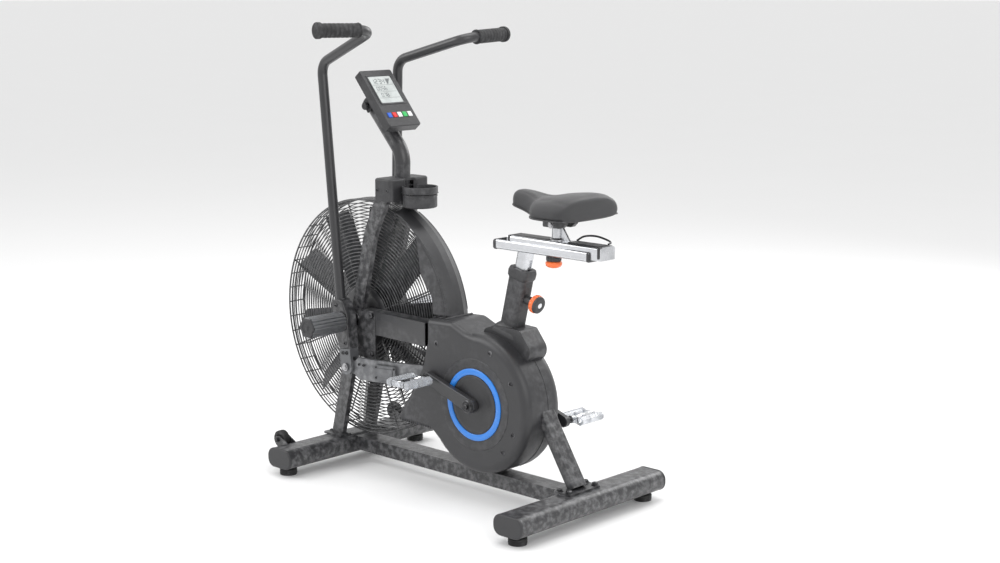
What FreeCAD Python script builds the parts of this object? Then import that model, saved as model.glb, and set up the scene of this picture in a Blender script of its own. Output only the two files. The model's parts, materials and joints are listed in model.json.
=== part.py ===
import FreeCAD, Part
import os
from math import asin, cos, degrees, hypot, radians, sin, sqrt, tan

# Air bike, millimetres. +Z is up, +X points to the rear (the saddle), -Y is the rider's left.
# X is measured from the line through the front feet while the pieces are made. On writing, every
# piece moves by -MID_X, so that the origin is the middle of the footprint, on the floor.

V = FreeCAD.Vector

# Floor frame
FOOT_SPAN = 500.0
FOOT_R = 24.0
FOOT_H = 25.0
WHEELBASE = 887.0
STAB_W = 96.0
STAB_H = 55.0
STAB_CORNER = 24.0
STAB_HALF = 282.0
STAB_CAP = 8.0
FRONT_STAB_X = 6.0
REAR_STAB_X = WHEELBASE
STAB_TOP = FOOT_H + STAB_H
BEAM_W = 60.0
BEAM_H = 40.0
BEAM_TOP = 76.0
WALL = 3.0

# Fan, its cage and its axle
FAN_X = 92.0
FAN_Z = 436.0
CAGE_R = 340.0
CAGE_HALF = 30.0
RING_PITCH = 10.0
RING_FIRST_R = 96.0
WIRE = 4.0
CAGE_SPOKES = 8
BAND_BARS = 36
HUB_R = 62.0
HUB_HALF = 22.0
AXLE_R = 10.0
BLADES = 10
BLADE_TIP_R = 318.0
BLADE_CHORD = 72.0
BLADE_PITCH = 52.0

# Fork legs, axle plates and side rails
LEG_IN = 52.0
LEG_OUT = 68.0
LEG_W = 44.0
LEG_TILT = 14.0
PLATE_T = 4.0
RAIL_Z0 = 402.0
RAIL_Z1 = 468.0
RAIL_IN = 33.0
RAIL_X0 = 123.0
RAIL_X1 = 500.0
RIGHT_RAIL_OUT = 54.0

# Crank, pedals and the two belt stages
CRANK_X = 576.0
CRANK_Z = 272.0
CRANK_LENGTH = 168.0
CRANK_ANGLE = 18.0
CRANK_IN = 92.0
CRANK_OUT = 108.0
SPINDLE_R = 10.0
PEDAL_IN = 122.0
PEDAL_OUT = 214.0
PEDAL_LONG = 88.0
PEDAL_HIGH = 26.0
PEDAL_PIN_R = 7.0
ECC_R = 38.0
ECC_OFFSET = 27.0
ECC_IN = 44.0
ECC_OUT = 56.0
JACK_X = 478.0
JACK_Z = FAN_Z
JACK_R = 8.0
BIG_PULLEY_R = 90.0
SMALL_PULLEY_R = 22.0
JACK_PULLEY_R = 25.0
FAN_PULLEY_R = 22.0
BELT_T = 3.0
BELT_GAP = 0.3
STAGE_ONE = (25.0, 31.0)
STAGE_TWO = (39.0, 49.0)

# Crank housing
HOUSING_R = 190.0
LEFT_FACE = 84.0
RIGHT_FACE = 60.0
COVER_WALL = 3.0
RING_OUT_R = 98.0
RING_IN_R = 81.0
DISC_R = 79.0
TRIM_T = 3.0
COVER_SCREWS = ((434, 418), (634, 420), (708, 350), (716, 214), (680, 160))

# Moving arms: the shape is (along, out, up) from the fan axle before the arm is swung
ARM_Y = 104.0
ARM_R = 14.0
ARM_FOOT = (-14.0, 58.0)
ARM_ELBOW = (0.0, 724.0)
ARM_WRIST = (248.0, 128.0, 794.0)
ARM_END = (226.0, 297.0, 799.0)
LEFT_SWING = -6.7
RIGHT_SWING = 0.3
BRACKET_IN = 86.0
BRACKET_OUT = 122.0
LEVER = 130.0
LEVER_R = 22.0
PIN_R = 8.0
LINK_T = 12.0
LINK_HALF = 31.0
LINK_INNER_Y = 50.0
FIT = 0.05

# Foot pegs
PEG_IN = 127.0
PEG_OUT = 252.0

# Seat tube, post, rail and saddle
SEAT_TILT = 13.4
SEAT_BASE_X = 587.0
SEAT_BASE_Z = CRANK_Z
TUBE_X = 60.0
TUBE_Y = 48.0
TUBE_FROM = 130.0
TUBE_TO = 378.0
POST_X = 42.0
POST_Y = 34.0
POST_FROM = 155.0
POST_TO = 450.0
SLIDE_GAP = 0.3
RAIL_BOTTOM = 690.0
RAIL_HEIGHT = 26.0
RAIL_HALF = 32.0
SEAT_RAIL_X = (600.0, 925.0)
SLIDE_X = (642.0, 962.0)
SLIDE_HALF = 27.0
STEM_X = 795.0
STEM_R = 15.0
PIVOT_Z = 772.0
KNOB_DROP = 74.0
RAIL_KNOB_X = 782.0
GROOVE = 4.0
LOCK_HOLES = 8
LOCK_PITCH = 14.0
SADDLE_BOTTOM = 790.0
SADDLE_TOP = 857.0

# Mast, console and cup holder
MAST_X = 216.0
MAST_R = 22.0
CONSOLE_W = 120.0
CONSOLE_H = 193.0
CONSOLE_T = 25.0
CONSOLE_LEAN = 40.0
CONSOLE_X = 174.0
CONSOLE_Z = 1064.0
CONSOLE_PIVOT_X = 112.0
CONSOLE_PIVOT_Z = 1039.0
CONSOLE_PIVOT_R = 6.0
CUP_X = 289.0
CUP_R = 50.0
CUP_WALL = 3.0

# Transport wheels
WHEEL_X = -60.0
WHEEL_Y = 222.0
WHEEL_Z = 86.0
WHEEL_R = 25.0
WHEEL_W = 22.0

MID_X = (FAN_X - CAGE_R + SLIDE_X[1]) / 2.0

pieces = {}


# ---------------------------------------------------------------- shape helpers

def box(x0, x1, y0, y1, z0, z1):
    return Part.makeBox(x1 - x0, y1 - y0, z1 - z0, V(x0, y0, z0))


def rod_y(x, z, r, y0, y1):
    return Part.makeCylinder(r, y1 - y0, V(x, y0, z), V(0, 1, 0))


def ring_y(x, z, r_out, r_in, y0, y1):
    return rod_y(x, z, r_out, y0, y1).cut(rod_y(x, z, r_in, y0 - 1, y1 + 1))


def rounded(points, place):
    """Closed wire through 2-D points (a, b) or (a, b, corner radius)."""
    corners = []
    count = len(points)
    for i, point in enumerate(points):
        here = V(point[0], point[1], 0)
        before = V(points[i - 1][0], points[i - 1][1], 0).sub(here)
        after = V(points[(i + 1) % count][0], points[(i + 1) % count][1], 0).sub(here)
        radius = point[2] if len(point) > 2 else 0.0
        if not radius:
            corners.append((here, None, here))
            continue
        before.normalize()
        after.normalize()
        half = before.getAngle(after) / 2.0
        back = radius / tan(half)
        middle = before.add(after)
        middle.normalize()
        centre_way = middle.multiply(radius / sin(half) - radius)
        entry = here.add(before.multiply(back))
        leave = here.add(after.multiply(back))
        corners.append((entry, here.add(centre_way), leave))
    edges = []
    for i, (start, middle, end) in enumerate(corners):
        if middle is not None:
            edges.append(Part.Arc(place(start), place(middle), place(end)).toShape())
        following = corners[(i + 1) % count][0]
        if end.distanceToPoint(following) > 1e-6:
            edges.append(Part.LineSegment(place(end), place(following)).toShape())
    return Part.Wire(edges)


def side_plate(points, y0, y1):
    """Outline in (x, z), thick along Y."""
    wire = rounded(points, lambda p: V(p.x, y0, p.y))
    return Part.Face(wire).extrude(V(0, y1 - y0, 0))


def plan_plate(points, z0, z1):
    """Outline in (x, y), thick along Z."""
    wire = rounded(points, lambda p: V(p.x, p.y, z0))
    return Part.Face(wire).extrude(V(0, 0, z1 - z0))


def oval_bar(width_x, width_y, corner, z0, z1):
    half_x = width_x / 2.0
    half_y = width_y / 2.0
    points = [(half_x, half_y, corner), (-half_x, half_y, corner)]
    points += [(-half_x, -half_y, corner), (half_x, -half_y, corner)]
    return plan_plate(points, z0, z1)


def bar(points, radius, bend):
    """Round bar along straight runs that tangent arcs join."""
    edges = []
    start = points[0]
    for before, corner, after in zip(points, points[1:], points[2:]):
        way_in = before.sub(corner).normalize()
        way_out = after.sub(corner).normalize()
        half = way_in.getAngle(way_out) / 2.0
        back = bend / tan(half)
        middle = way_in.add(way_out).normalize()
        entry = corner.add(way_in * back)
        leave = corner.add(way_out * back)
        edges.append(Part.LineSegment(start, entry).toShape())
        edges.append(Part.Arc(entry, corner.add(middle * (bend / sin(half) - bend)), leave).toShape())
        start = leave
    edges.append(Part.LineSegment(start, points[-1]).toShape())
    first_way = points[1].sub(points[0])
    profile = Part.Wire([Part.Circle(points[0], first_way, radius).toShape()])
    return Part.Wire(edges).makePipeShell([profile], True, False)


def mirrored(shape):
    return shape.mirror(V(0, 0, 0), V(0, 1, 0))


def swung(shape, degrees_back, x=FAN_X, z=FAN_Z):
    """Turn about a Y line: a positive angle leans the top to the rear."""
    turned = shape.copy()
    turned.rotate(V(x, 0, z), V(0, 1, 0), degrees_back)
    return turned


def along_seat_tube(shape):
    """Move a piece made on the Z axis to the tilted axis of the seat tube."""
    moved = swung(shape, SEAT_TILT, 0, 0)
    moved.translate(V(SEAT_BASE_X, 0, SEAT_BASE_Z))
    return moved


def face_edges(shape, y):
    return [e for e in shape.Edges if all(abs(v.Point.y - y) < 1e-4 for v in e.Vertexes)]


def group(shapes):
    return Part.makeCompound(shapes)


# ---------------------------------------------------------------- floor frame

def stabilizer_outline(x, grow=0.0):
    half = STAB_W / 2.0 + grow
    low = FOOT_H - grow
    high = STAB_TOP + grow
    r = STAB_CORNER + grow
    return [(x - half, low, r), (x + half, low, r), (x + half, high, r), (x - half, high, r)]


def stabilizer(x):
    outer = side_plate(stabilizer_outline(x), -STAB_HALF, STAB_HALF)
    inner = side_plate(stabilizer_outline(x, -WALL), -STAB_HALF - 1, STAB_HALF + 1)
    return outer.cut(inner)


def stabilizer_caps(x):
    cap = side_plate(stabilizer_outline(x, 0.5), STAB_HALF, STAB_HALF + STAB_CAP)
    cap = cap.makeFillet(4.0, face_edges(cap, STAB_HALF + STAB_CAP))
    plug = side_plate(stabilizer_outline(x, -WALL), STAB_HALF - 15, STAB_HALF)
    cap = cap.fuse(plug).removeSplitter()
    return [cap, mirrored(cap)]


def foot(x, y):
    pad = Part.makeCylinder(FOOT_R, FOOT_H - 7, V(x, y, 0))
    pad = pad.makeChamfer(2.0, [pad.Edges[0]])
    neck = Part.makeCylinder(FOOT_R - 8, 7, V(x, y, FOOT_H - 7))
    return pad.fuse(neck)


def floor_frame():
    pieces["front_stabilizer"] = stabilizer(FRONT_STAB_X)
    pieces["rear_stabilizer"] = stabilizer(REAR_STAB_X)
    pieces["stabilizer_end_caps"] = group(stabilizer_caps(FRONT_STAB_X) + stabilizer_caps(REAR_STAB_X))
    half = FOOT_SPAN / 2.0
    feet = [foot(x, y) for x in (0.0, WHEELBASE) for y in (-half, half)]
    pieces["leveling_feet"] = group(feet)

    beam = box(FRONT_STAB_X, REAR_STAB_X, -BEAM_W / 2, BEAM_W / 2, BEAM_TOP - BEAM_H, BEAM_TOP)
    hollow = box(FRONT_STAB_X, REAR_STAB_X, -BEAM_W / 2 + WALL, BEAM_W / 2 - WALL,
                 BEAM_TOP - BEAM_H + WALL, BEAM_TOP - WALL)
    beam = beam.cut(hollow)
    for x in (FRONT_STAB_X, REAR_STAB_X):
        beam = beam.cut(side_plate(stabilizer_outline(x), -BEAM_W, BEAM_W))
    pieces["base_beam"] = beam

    strut_top = (752.0, 270.0)
    strut_foot = (868.0, STAB_TOP + 5)
    run = hypot(strut_foot[0] - strut_top[0], strut_top[1] - strut_foot[1])
    strut = oval_bar(30.0, 50.0, 6.0, 0.0, run + 20)
    strut = strut.cut(oval_bar(24.0, 44.0, 3.0, -1.0, run + 21))
    lean = -degrees(asin((strut_foot[0] - strut_top[0]) / run))
    strut = swung(strut, lean, 0, 0)
    strut.translate(V(strut_foot[0], 0, strut_foot[1]))
    strut = strut.cut(box(700, 950, -50, 50, 0, STAB_TOP + 5))
    strut = strut.cut(rod_y(CRANK_X, CRANK_Z, HOUSING_R + 0.5, -60, 60))
    plate = plan_plate([(838, -62, 8), (898, -62, 8), (898, 62, 8), (838, 62, 8)], STAB_TOP, STAB_TOP + 5)
    pieces["rear_strut"] = strut.fuse(plate)


# ---------------------------------------------------------------- fork, side rails, mast

def fork_leg():
    """Left leg: a flat bar in line from the front stabilizer to the fan axle, that curves to the mast."""
    lean = tan(radians(LEG_TILT))
    foot_x = FAN_X - lean * (FAN_Z - STAB_TOP)
    knee_x = FAN_X + lean * (690 - FAN_Z)
    half = LEG_W / 2.0
    outline = [(foot_x - half, STAB_TOP), (foot_x + half, STAB_TOP), (knee_x + half, 690, 160),
               (MAST_X + 14, 786), (MAST_X + 14, 838), (MAST_X - 30, 838), (MAST_X - 34, 795, 60),
               (knee_x - half, 690, 200)]
    leg = side_plate(outline, -LEG_OUT, -LEG_IN)
    web = side_plate([(MAST_X - 28, 792), (MAST_X + 12, 792), (MAST_X + 12, 836), (MAST_X - 28, 836)],
                     -LEG_IN, -MAST_R - 4)
    foot_plate = plan_plate([(foot_x - 42, -84, 6), (foot_x + 30, -84, 6), (foot_x + 30, -36, 6),
                             (foot_x - 42, -36, 6)], STAB_TOP, STAB_TOP + 5)
    leg = leg.fuse([web, foot_plate]).removeSplitter()
    return leg.cut(rod_y(FAN_X, FAN_Z, AXLE_R, -LEG_OUT - 1, -LEG_IN + 1))


def side_rail(outer_front, outer_rear, rear_x):
    """Left-hand rail: hollow box from the axle plate into the housing."""
    def plan(wall):
        front = RAIL_X0 - (1 if wall else 0)
        rear = rear_x + (1 if wall else 0)
        return [(front, -RAIL_IN - wall), (rear, -RAIL_IN - wall), (rear, -outer_rear + wall),
                (front, -outer_front + wall)]
    rail = plan_plate(plan(0.0), RAIL_Z0, RAIL_Z1)
    return rail.cut(plan_plate(plan(WALL), RAIL_Z0 + WALL, RAIL_Z1 - WALL))


def axle_plate():
    outline = [(64, 344, 14), (112, 330, 14), (178, 330, 8), (178, 468, 8), (74, 468, 14)]
    plate = side_plate(outline, -LEG_OUT - PLATE_T, -LEG_OUT)
    return plate.cut(rod_y(FAN_X, FAN_Z, AXLE_R, -LEG_OUT - PLATE_T - 1, -LEG_OUT + 1))


def fork_and_rails():
    leg = fork_leg()
    pieces["left_fork_leg"] = leg
    pieces["right_fork_leg"] = mirrored(leg)
    left_rail = side_rail(LEG_OUT, LEFT_FACE - 1.0, 389.0)
    pieces["left_side_rail"] = left_rail.fuse(axle_plate()).removeSplitter()
    right_rail = side_rail(RIGHT_RAIL_OUT, RIGHT_RAIL_OUT, RAIL_X1)
    packing = box(RAIL_X0, 178, -LEG_OUT, -RIGHT_RAIL_OUT, RAIL_Z0, RAIL_Z1)
    right_rail = mirrored(right_rail.fuse([packing, axle_plate()]).removeSplitter())
    right_rail = right_rail.cut(rod_y(JACK_X, JACK_Z, JACK_PULLEY_R + 5, RAIL_IN - 1, RAIL_IN + WALL + 0.5))
    right_rail = right_rail.cut(rod_y(JACK_X, JACK_Z, 14.0, RIGHT_RAIL_OUT - WALL - 1, RIGHT_RAIL_OUT + 1))
    pieces["right_side_rail"] = right_rail


def mast_and_cup_holder():
    path = [V(MAST_X, 0, 770), V(MAST_X + 6, 0, 912), V(92, 0, 1056)]
    tube = bar(path, MAST_R, 75.0)
    tube = tube.cut(bar(path, MAST_R - WALL, 75.0))
    boss = rod_y(CONSOLE_PIVOT_X, CONSOLE_PIVOT_Z, 2 * CONSOLE_PIVOT_R, -20, 20)
    pin_hole = rod_y(CONSOLE_PIVOT_X, CONSOLE_PIVOT_Z, CONSOLE_PIVOT_R, -40, 40)
    pieces["mast"] = tube.fuse(boss).cut(pin_hole)

    collar = plan_plate([(MAST_X - 38, -74, 16), (MAST_X + 34, -74, 12), (MAST_X + 34, 74, 12),
                         (MAST_X - 38, 74, 16)], 784, 846)
    collar = collar.makeFillet(6.0, [e for e in collar.Edges
                                     if all(abs(v.Point.z - 846) < 1e-4 for v in e.Vertexes)])
    low = Part.makeCylinder(CUP_R - 2, 36, V(CUP_X, 0, 768))
    low = low.makeFillet(5.0, [low.Edges[2]])
    band = Part.makeCylinder(CUP_R, 17, V(CUP_X, 0, 808))
    arm = box(MAST_X + 20, CUP_X - CUP_R + 12, -34, 34, 775, 823)
    holder = collar.fuse([low, band, arm]).removeSplitter()
    bore = Part.makeCylinder(CUP_R - 2 - CUP_WALL, 80, V(CUP_X, 0, 772))
    holder = holder.cut([bore, box(MAST_X - 31, MAST_X + 31, -LEG_OUT - 0.5, LEG_OUT + 0.5, 783, 839),
                         bar(path, MAST_R + 0.5, 75.0)])
    pieces["cup_holder"] = holder.cut([pieces["left_fork_leg"], pieces["right_fork_leg"]])


# ---------------------------------------------------------------- housing and shroud

def housing_side(face, disc_fillet, body_fillet, wall):
    """Left half, from the middle plane out to -face. wall > 0 gives the hollow inside."""
    y0 = -face + wall
    disc = rod_y(CRANK_X, CRANK_Z, HOUSING_R - wall, y0, 0)
    disc = disc.makeFillet(disc_fillet - wall, [e for e in disc.Edges
                                                if e.Closed and abs(e.Vertexes[0].Point.y - y0) < 1e-4])
    outline = [(408 + wall, 172 + wall, 30), (500, 100 + wall, 60), (600, 120, 60), (700, 300, 60),
               (660, 440 - wall, 60), (540, 462 - wall, 60), (486, 484 - wall, 30),
               (392 + wall, 480 - wall, 10),
               (391 + wall, 416, 10), (374 + wall, 346, 20), (334 + wall, 272, 60),
               (264 + wall * 1.4, 174 + wall, 10)]
    body = side_plate(outline, y0, 0)
    body = body.makeFillet(body_fillet - wall, face_edges(body, y0))
    neck = side_plate([(560, 430), (566 + wall, 470, 12), (606 + wall, 486 - wall, 10),
                       (694 - wall, 482 - wall, 14), (752 - wall, 410, 30),
                       (640, 380)], max(y0, -34.0 + wall), 0)
    return disc.fuse([body, neck])


def cover(face, disc_fillet, body_fillet, slot_rear):
    shell = housing_side(face, disc_fillet, body_fillet, 0.0)
    shell = shell.cut(housing_side(face, disc_fillet, body_fillet, COVER_WALL))
    shell = shell.cut(rod_y(CRANK_X, CRANK_Z, SPINDLE_R + 5, -face - 1, 1))
    shell = shell.cut(rod_y(FAN_X, FAN_Z, CAGE_R + 6, -CAGE_HALF - 5, 1))
    tube_hole = oval_bar(TUBE_X + 1, TUBE_Y + 1, 14.0, TUBE_FROM, TUBE_TO)
    shell = shell.cut(along_seat_tube(tube_hole))
    link_slot = box(320, slot_rear, -LEFT_FACE + COVER_WALL, -LINK_INNER_Y + 10, CRANK_Z - 2, CRANK_Z + 74)
    rail_slot = box(380, 420, -LEFT_FACE + 1, -RAIL_IN + 1, RAIL_Z0 - 1, RAIL_Z1 + 1)
    upright = box(CRANK_X - 28, CRANK_X + 28, -23, 1, 60, 140)
    return shell.cut([link_slot, rail_slot, upright])


def shroud():
    """Mudguard behind the cage: a crowned band over the rim, with a crescent down each side."""
    crown = CAGE_R + 18
    shoulder = CAGE_R + 5
    half = CAGE_HALF + 10
    section = [V(shoulder, -half, 0), V(crown, -12, 0), V(crown, 12, 0), V(shoulder, half, 0),
               V(shoulder - 4, half, 0), V(crown - 4, 11, 0), V(crown - 4, -11, 0), V(shoulder - 4, -half,
                                                                                      0)]
    start = 4.0
    sweep = 62.0
    profile = Part.Face(Part.makePolygon([V(FAN_X + p.x, p.y, FAN_Z) for p in section + section[:1]]))
    profile.rotate(V(FAN_X, 0, FAN_Z), V(0, 1, 0), -start)
    band = profile.revolve(V(FAN_X, 0, FAN_Z), V(0, 1, 0), -sweep)
    inner = [(378, 470), (374, 530, 40), (330, 590, 40), (312, 700, 60), (268, 792)]
    outer = [(420, 780), (470, 640), (470, 470)]
    crescent = side_plate(inner + outer, -half, -half + 4)
    crescent = crescent.common(rod_y(FAN_X, FAN_Z, shoulder, -half, -half + 4))
    low_cut = box(300, 560, -60, 60, 440, 485)
    return band.fuse([crescent, mirrored(crescent)]).removeSplitter().cut(low_cut)


def housing():
    pieces["left_cover"] = cover(LEFT_FACE, 24.0, 16.0, 420)
    pieces["right_cover"] = mirrored(cover(RIGHT_FACE, 34.0, 14.0, 396))
    pieces["shroud"] = shroud()
    rings = []
    discs = []
    for y0, y1 in ((-LEFT_FACE - TRIM_T, -LEFT_FACE), (RIGHT_FACE, RIGHT_FACE + TRIM_T)):
        rings.append(ring_y(CRANK_X, CRANK_Z, RING_OUT_R, RING_IN_R, y0, y1))
        discs.append(ring_y(CRANK_X, CRANK_Z, DISC_R, SPINDLE_R + 3, y0, y1))
    pieces["trim_rings"] = group(rings)
    pieces["side_discs"] = group(discs)

    shell = ring_y(CRANK_X, CRANK_Z, 24.0, 16.0, -38, 20)
    upright = box(CRANK_X - 25, CRANK_X + 25, -18, 18, BEAM_TOP, CRANK_Z - 18)
    riser = along_seat_tube(oval_bar(50, 36, 8, 18, TUBE_FROM))
    bracket = shell.fuse([upright, riser]).removeSplitter()
    pieces["bottom_bracket"] = bracket.cut(rod_y(CRANK_X, CRANK_Z, 16.0, -40, 21))


# ---------------------------------------------------------------- fan and cage

def cage_face(y_outer, y_inner):
    """Concentric rings on the outside, spokes behind them, and a round plate at the centre."""
    y_mid = y_outer + (y_inner - y_outer) / 2.0
    ring_y0, ring_y1 = sorted((y_outer, y_mid))
    bar_y0, bar_y1 = sorted((y_mid, y_inner))
    parts = []
    r = RING_FIRST_R
    while r < CAGE_R - WIRE:
        parts.append(ring_y(FAN_X, FAN_Z, r + WIRE / 2, r - WIRE / 2, ring_y0, ring_y1))
        r += RING_PITCH
    for i in range(CAGE_SPOKES):
        spoke = box(FAN_X + 62, FAN_X + CAGE_R - 3, bar_y0, bar_y1, FAN_Z - 2.5, FAN_Z + 2.5)
        parts.append(swung(spoke, 360.0 / CAGE_SPOKES * (i + 0.5)))
    parts.append(ring_y(FAN_X, FAN_Z, 88.0, 24.0, ring_y0, ring_y1))
    return group(parts)


def cage_band():
    y_face = CAGE_HALF - 4.0
    rings = [ring_y(FAN_X, FAN_Z, CAGE_R, CAGE_R - 3, y - 2, y + 2) for y in (-28.0, -14.0, 0.0, 14.0,
                                                                              28.0)]
    bars = []
    for i in range(BAND_BARS):
        one = box(FAN_X + CAGE_R - 6.2, FAN_X + CAGE_R - 2.8, -CAGE_HALF + 2, CAGE_HALF - 2,
                  FAN_Z - 2, FAN_Z + 2)
        bars.append(swung(one, 360.0 / BAND_BARS * i))
    return rings[0].fuse(rings[1:] + bars)


def fan_blade():
    flat = box(-BLADE_CHORD / 2, BLADE_CHORD / 2, -1.0, 1.0, HUB_R - 6, BLADE_TIP_R)
    root_cut_a = box(22, 60, -5, 5, 0, 96)
    root_cut_b = box(-60, -22, -5, 5, 0, 96)
    blade = flat.cut([root_cut_a, root_cut_b])
    blade.rotate(V(0, 0, 0), V(0, 0, 1), 90.0 - BLADE_PITCH)
    blade.translate(V(FAN_X, 0, FAN_Z))
    return blade


def fan():
    pieces["guard_near"] = cage_face(-CAGE_HALF - 1, -CAGE_HALF + 4)
    pieces["guard_far"] = cage_face(CAGE_HALF + 1, CAGE_HALF - 4)
    pieces["guard_band"] = cage_band()

    hub = rod_y(FAN_X, FAN_Z, HUB_R, -HUB_HALF, HUB_HALF)
    hub = hub.makeFillet(4.0, [e for e in hub.Edges if e.Closed])
    neck = rod_y(FAN_X, FAN_Z, 18.0, HUB_HALF, STAGE_TWO[0])
    pulley = rod_y(FAN_X, FAN_Z, FAN_PULLEY_R, STAGE_TWO[0] - 1, STAGE_TWO[1] + 1)
    hub = hub.fuse([neck, pulley]).removeSplitter()
    hub = hub.cut([rod_y(FAN_X, FAN_Z, AXLE_R + 1, -60, 60),
                   rod_y(FAN_X, FAN_Z, 16.0, -HUB_HALF - 1, -HUB_HALF + 12),
                   rod_y(FAN_X, FAN_Z, 16.0, HUB_HALF - 12, HUB_HALF)])
    pieces["fan_hub"] = hub
    blade = fan_blade()
    solid_hub = rod_y(FAN_X, FAN_Z, HUB_R, -HUB_HALF - 10, HUB_HALF + 10)
    blade = blade.cut(solid_hub)
    pieces["fan_blades"] = group([swung(blade, 360.0 / BLADES * i + 8.0) for i in range(BLADES)])
    pieces["fan_axle"] = rod_y(FAN_X, FAN_Z, AXLE_R, -PEG_OUT + 12, PEG_OUT - 12)

    peg_outline = [(FAN_X - 24, FAN_Z + 29, 6), (FAN_X + 14, FAN_Z + 27, 8), (FAN_X + 27, FAN_Z + 8, 8),
                   (FAN_X + 8, FAN_Z - 30, 7), (FAN_X - 12, FAN_Z - 29, 7), (FAN_X - 26, FAN_Z - 12, 8)]
    peg = side_plate(peg_outline, -PEG_OUT, -PEG_IN)
    peg = peg.cut(rod_y(FAN_X, FAN_Z, AXLE_R, -PEG_OUT + 12, -PEG_IN + 1))
    pieces["foot_pegs"] = group([peg, mirrored(peg)])


# ---------------------------------------------------------------- crank drive

def belt(x0, z0, r0, x1, z1, r1, width):
    """Closed belt round two pulleys, with a hair of clearance to both."""
    def outline(extra):
        a = r0 + BELT_GAP + extra
        b = r1 + BELT_GAP + extra
        reach = hypot(x1 - x0, z1 - z0)
        ux, uz = (x1 - x0) / reach, (z1 - z0) / reach
        tilt = (a - b) / reach
        rise = sqrt(1.0 - tilt * tilt)
        plus = (ux * tilt - uz * rise, uz * tilt + ux * rise)
        minus = (ux * tilt + uz * rise, uz * tilt - ux * rise)
        big = [V(x0 + plus[0] * a, width[0], z0 + plus[1] * a), V(x0 - ux * a, width[0], z0 - uz * a),
               V(x0 + minus[0] * a, width[0], z0 + minus[1] * a)]
        small = [V(x1 + minus[0] * b, width[0], z1 + minus[1] * b), V(x1 + ux * b, width[0], z1 + uz * b),
                 V(x1 + plus[0] * b, width[0], z1 + plus[1] * b)]
        edges = [Part.Arc(*big).toShape(), Part.LineSegment(big[2], small[0]).toShape(),
                 Part.Arc(*small).toShape(), Part.LineSegment(small[2], big[0]).toShape()]
        return Part.Face(Part.Wire(edges)).extrude(V(0, width[1] - width[0], 0))
    return outline(BELT_T).cut(outline(0.0))


def pulley(x, z, r, width):
    return rod_y(x, z, r, width[0] - 1, width[1] + 1)


def crank_arm(side_angle):
    """Left-hand arm from the spindle to the pedal, pointing forward at the given rise."""
    outline = [(CRANK_X + 20, CRANK_Z - 20, 19), (CRANK_X + 20, CRANK_Z + 20, 19),
               (CRANK_X - CRANK_LENGTH - 15, CRANK_Z + 15, 14),
               (CRANK_X - CRANK_LENGTH - 15, CRANK_Z - 15, 14)]
    arm = side_plate(outline, -CRANK_OUT, -CRANK_IN)
    arm = arm.makeFillet(3.0, face_edges(arm, -CRANK_OUT))
    boss = rod_y(CRANK_X, CRANK_Z, 19.0, -CRANK_OUT - 4, -CRANK_IN + 2)
    pin = rod_y(CRANK_X - CRANK_LENGTH, CRANK_Z, PEDAL_PIN_R, -PEDAL_OUT + 8, -CRANK_OUT + 1)
    arm = arm.fuse([boss, pin]).removeSplitter()
    arm = arm.cut(rod_y(CRANK_X, CRANK_Z, SPINDLE_R, -CRANK_OUT, -CRANK_IN + 3))
    return swung(arm, side_angle, CRANK_X, CRANK_Z)


def pedal(x, z):
    """Left-hand pedal, level: a bevelled frame with two windows each side of its pin."""
    half = PEDAL_LONG / 2.0
    high = PEDAL_HIGH / 2.0
    outline = [(x - half, z - 5, 3), (x - half + 10, z - high, 4), (x + half - 10, z - high, 4),
               (x + half, z - 5, 3), (x + half, z + 5, 3), (x + half - 10, z + high, 4),
               (x - half + 10, z + high, 4), (x - half, z + 5, 3)]
    body = side_plate(outline, -PEDAL_OUT, -PEDAL_IN)
    cuts = [rod_y(x, z, PEDAL_PIN_R + FIT, -PEDAL_OUT + 6, -PEDAL_IN + 1)]
    for x0, x1 in ((x - half + 9, x - 13), (x + 13, x + half - 9)):
        for y0, y1 in ((-PEDAL_OUT + 9, -PEDAL_OUT + 42), (-PEDAL_OUT + 50, -PEDAL_IN - 9)):
            cuts.append(box(x0, x1, y0, y1, z - 30, z + 30))
    return body.cut(cuts)


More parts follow.
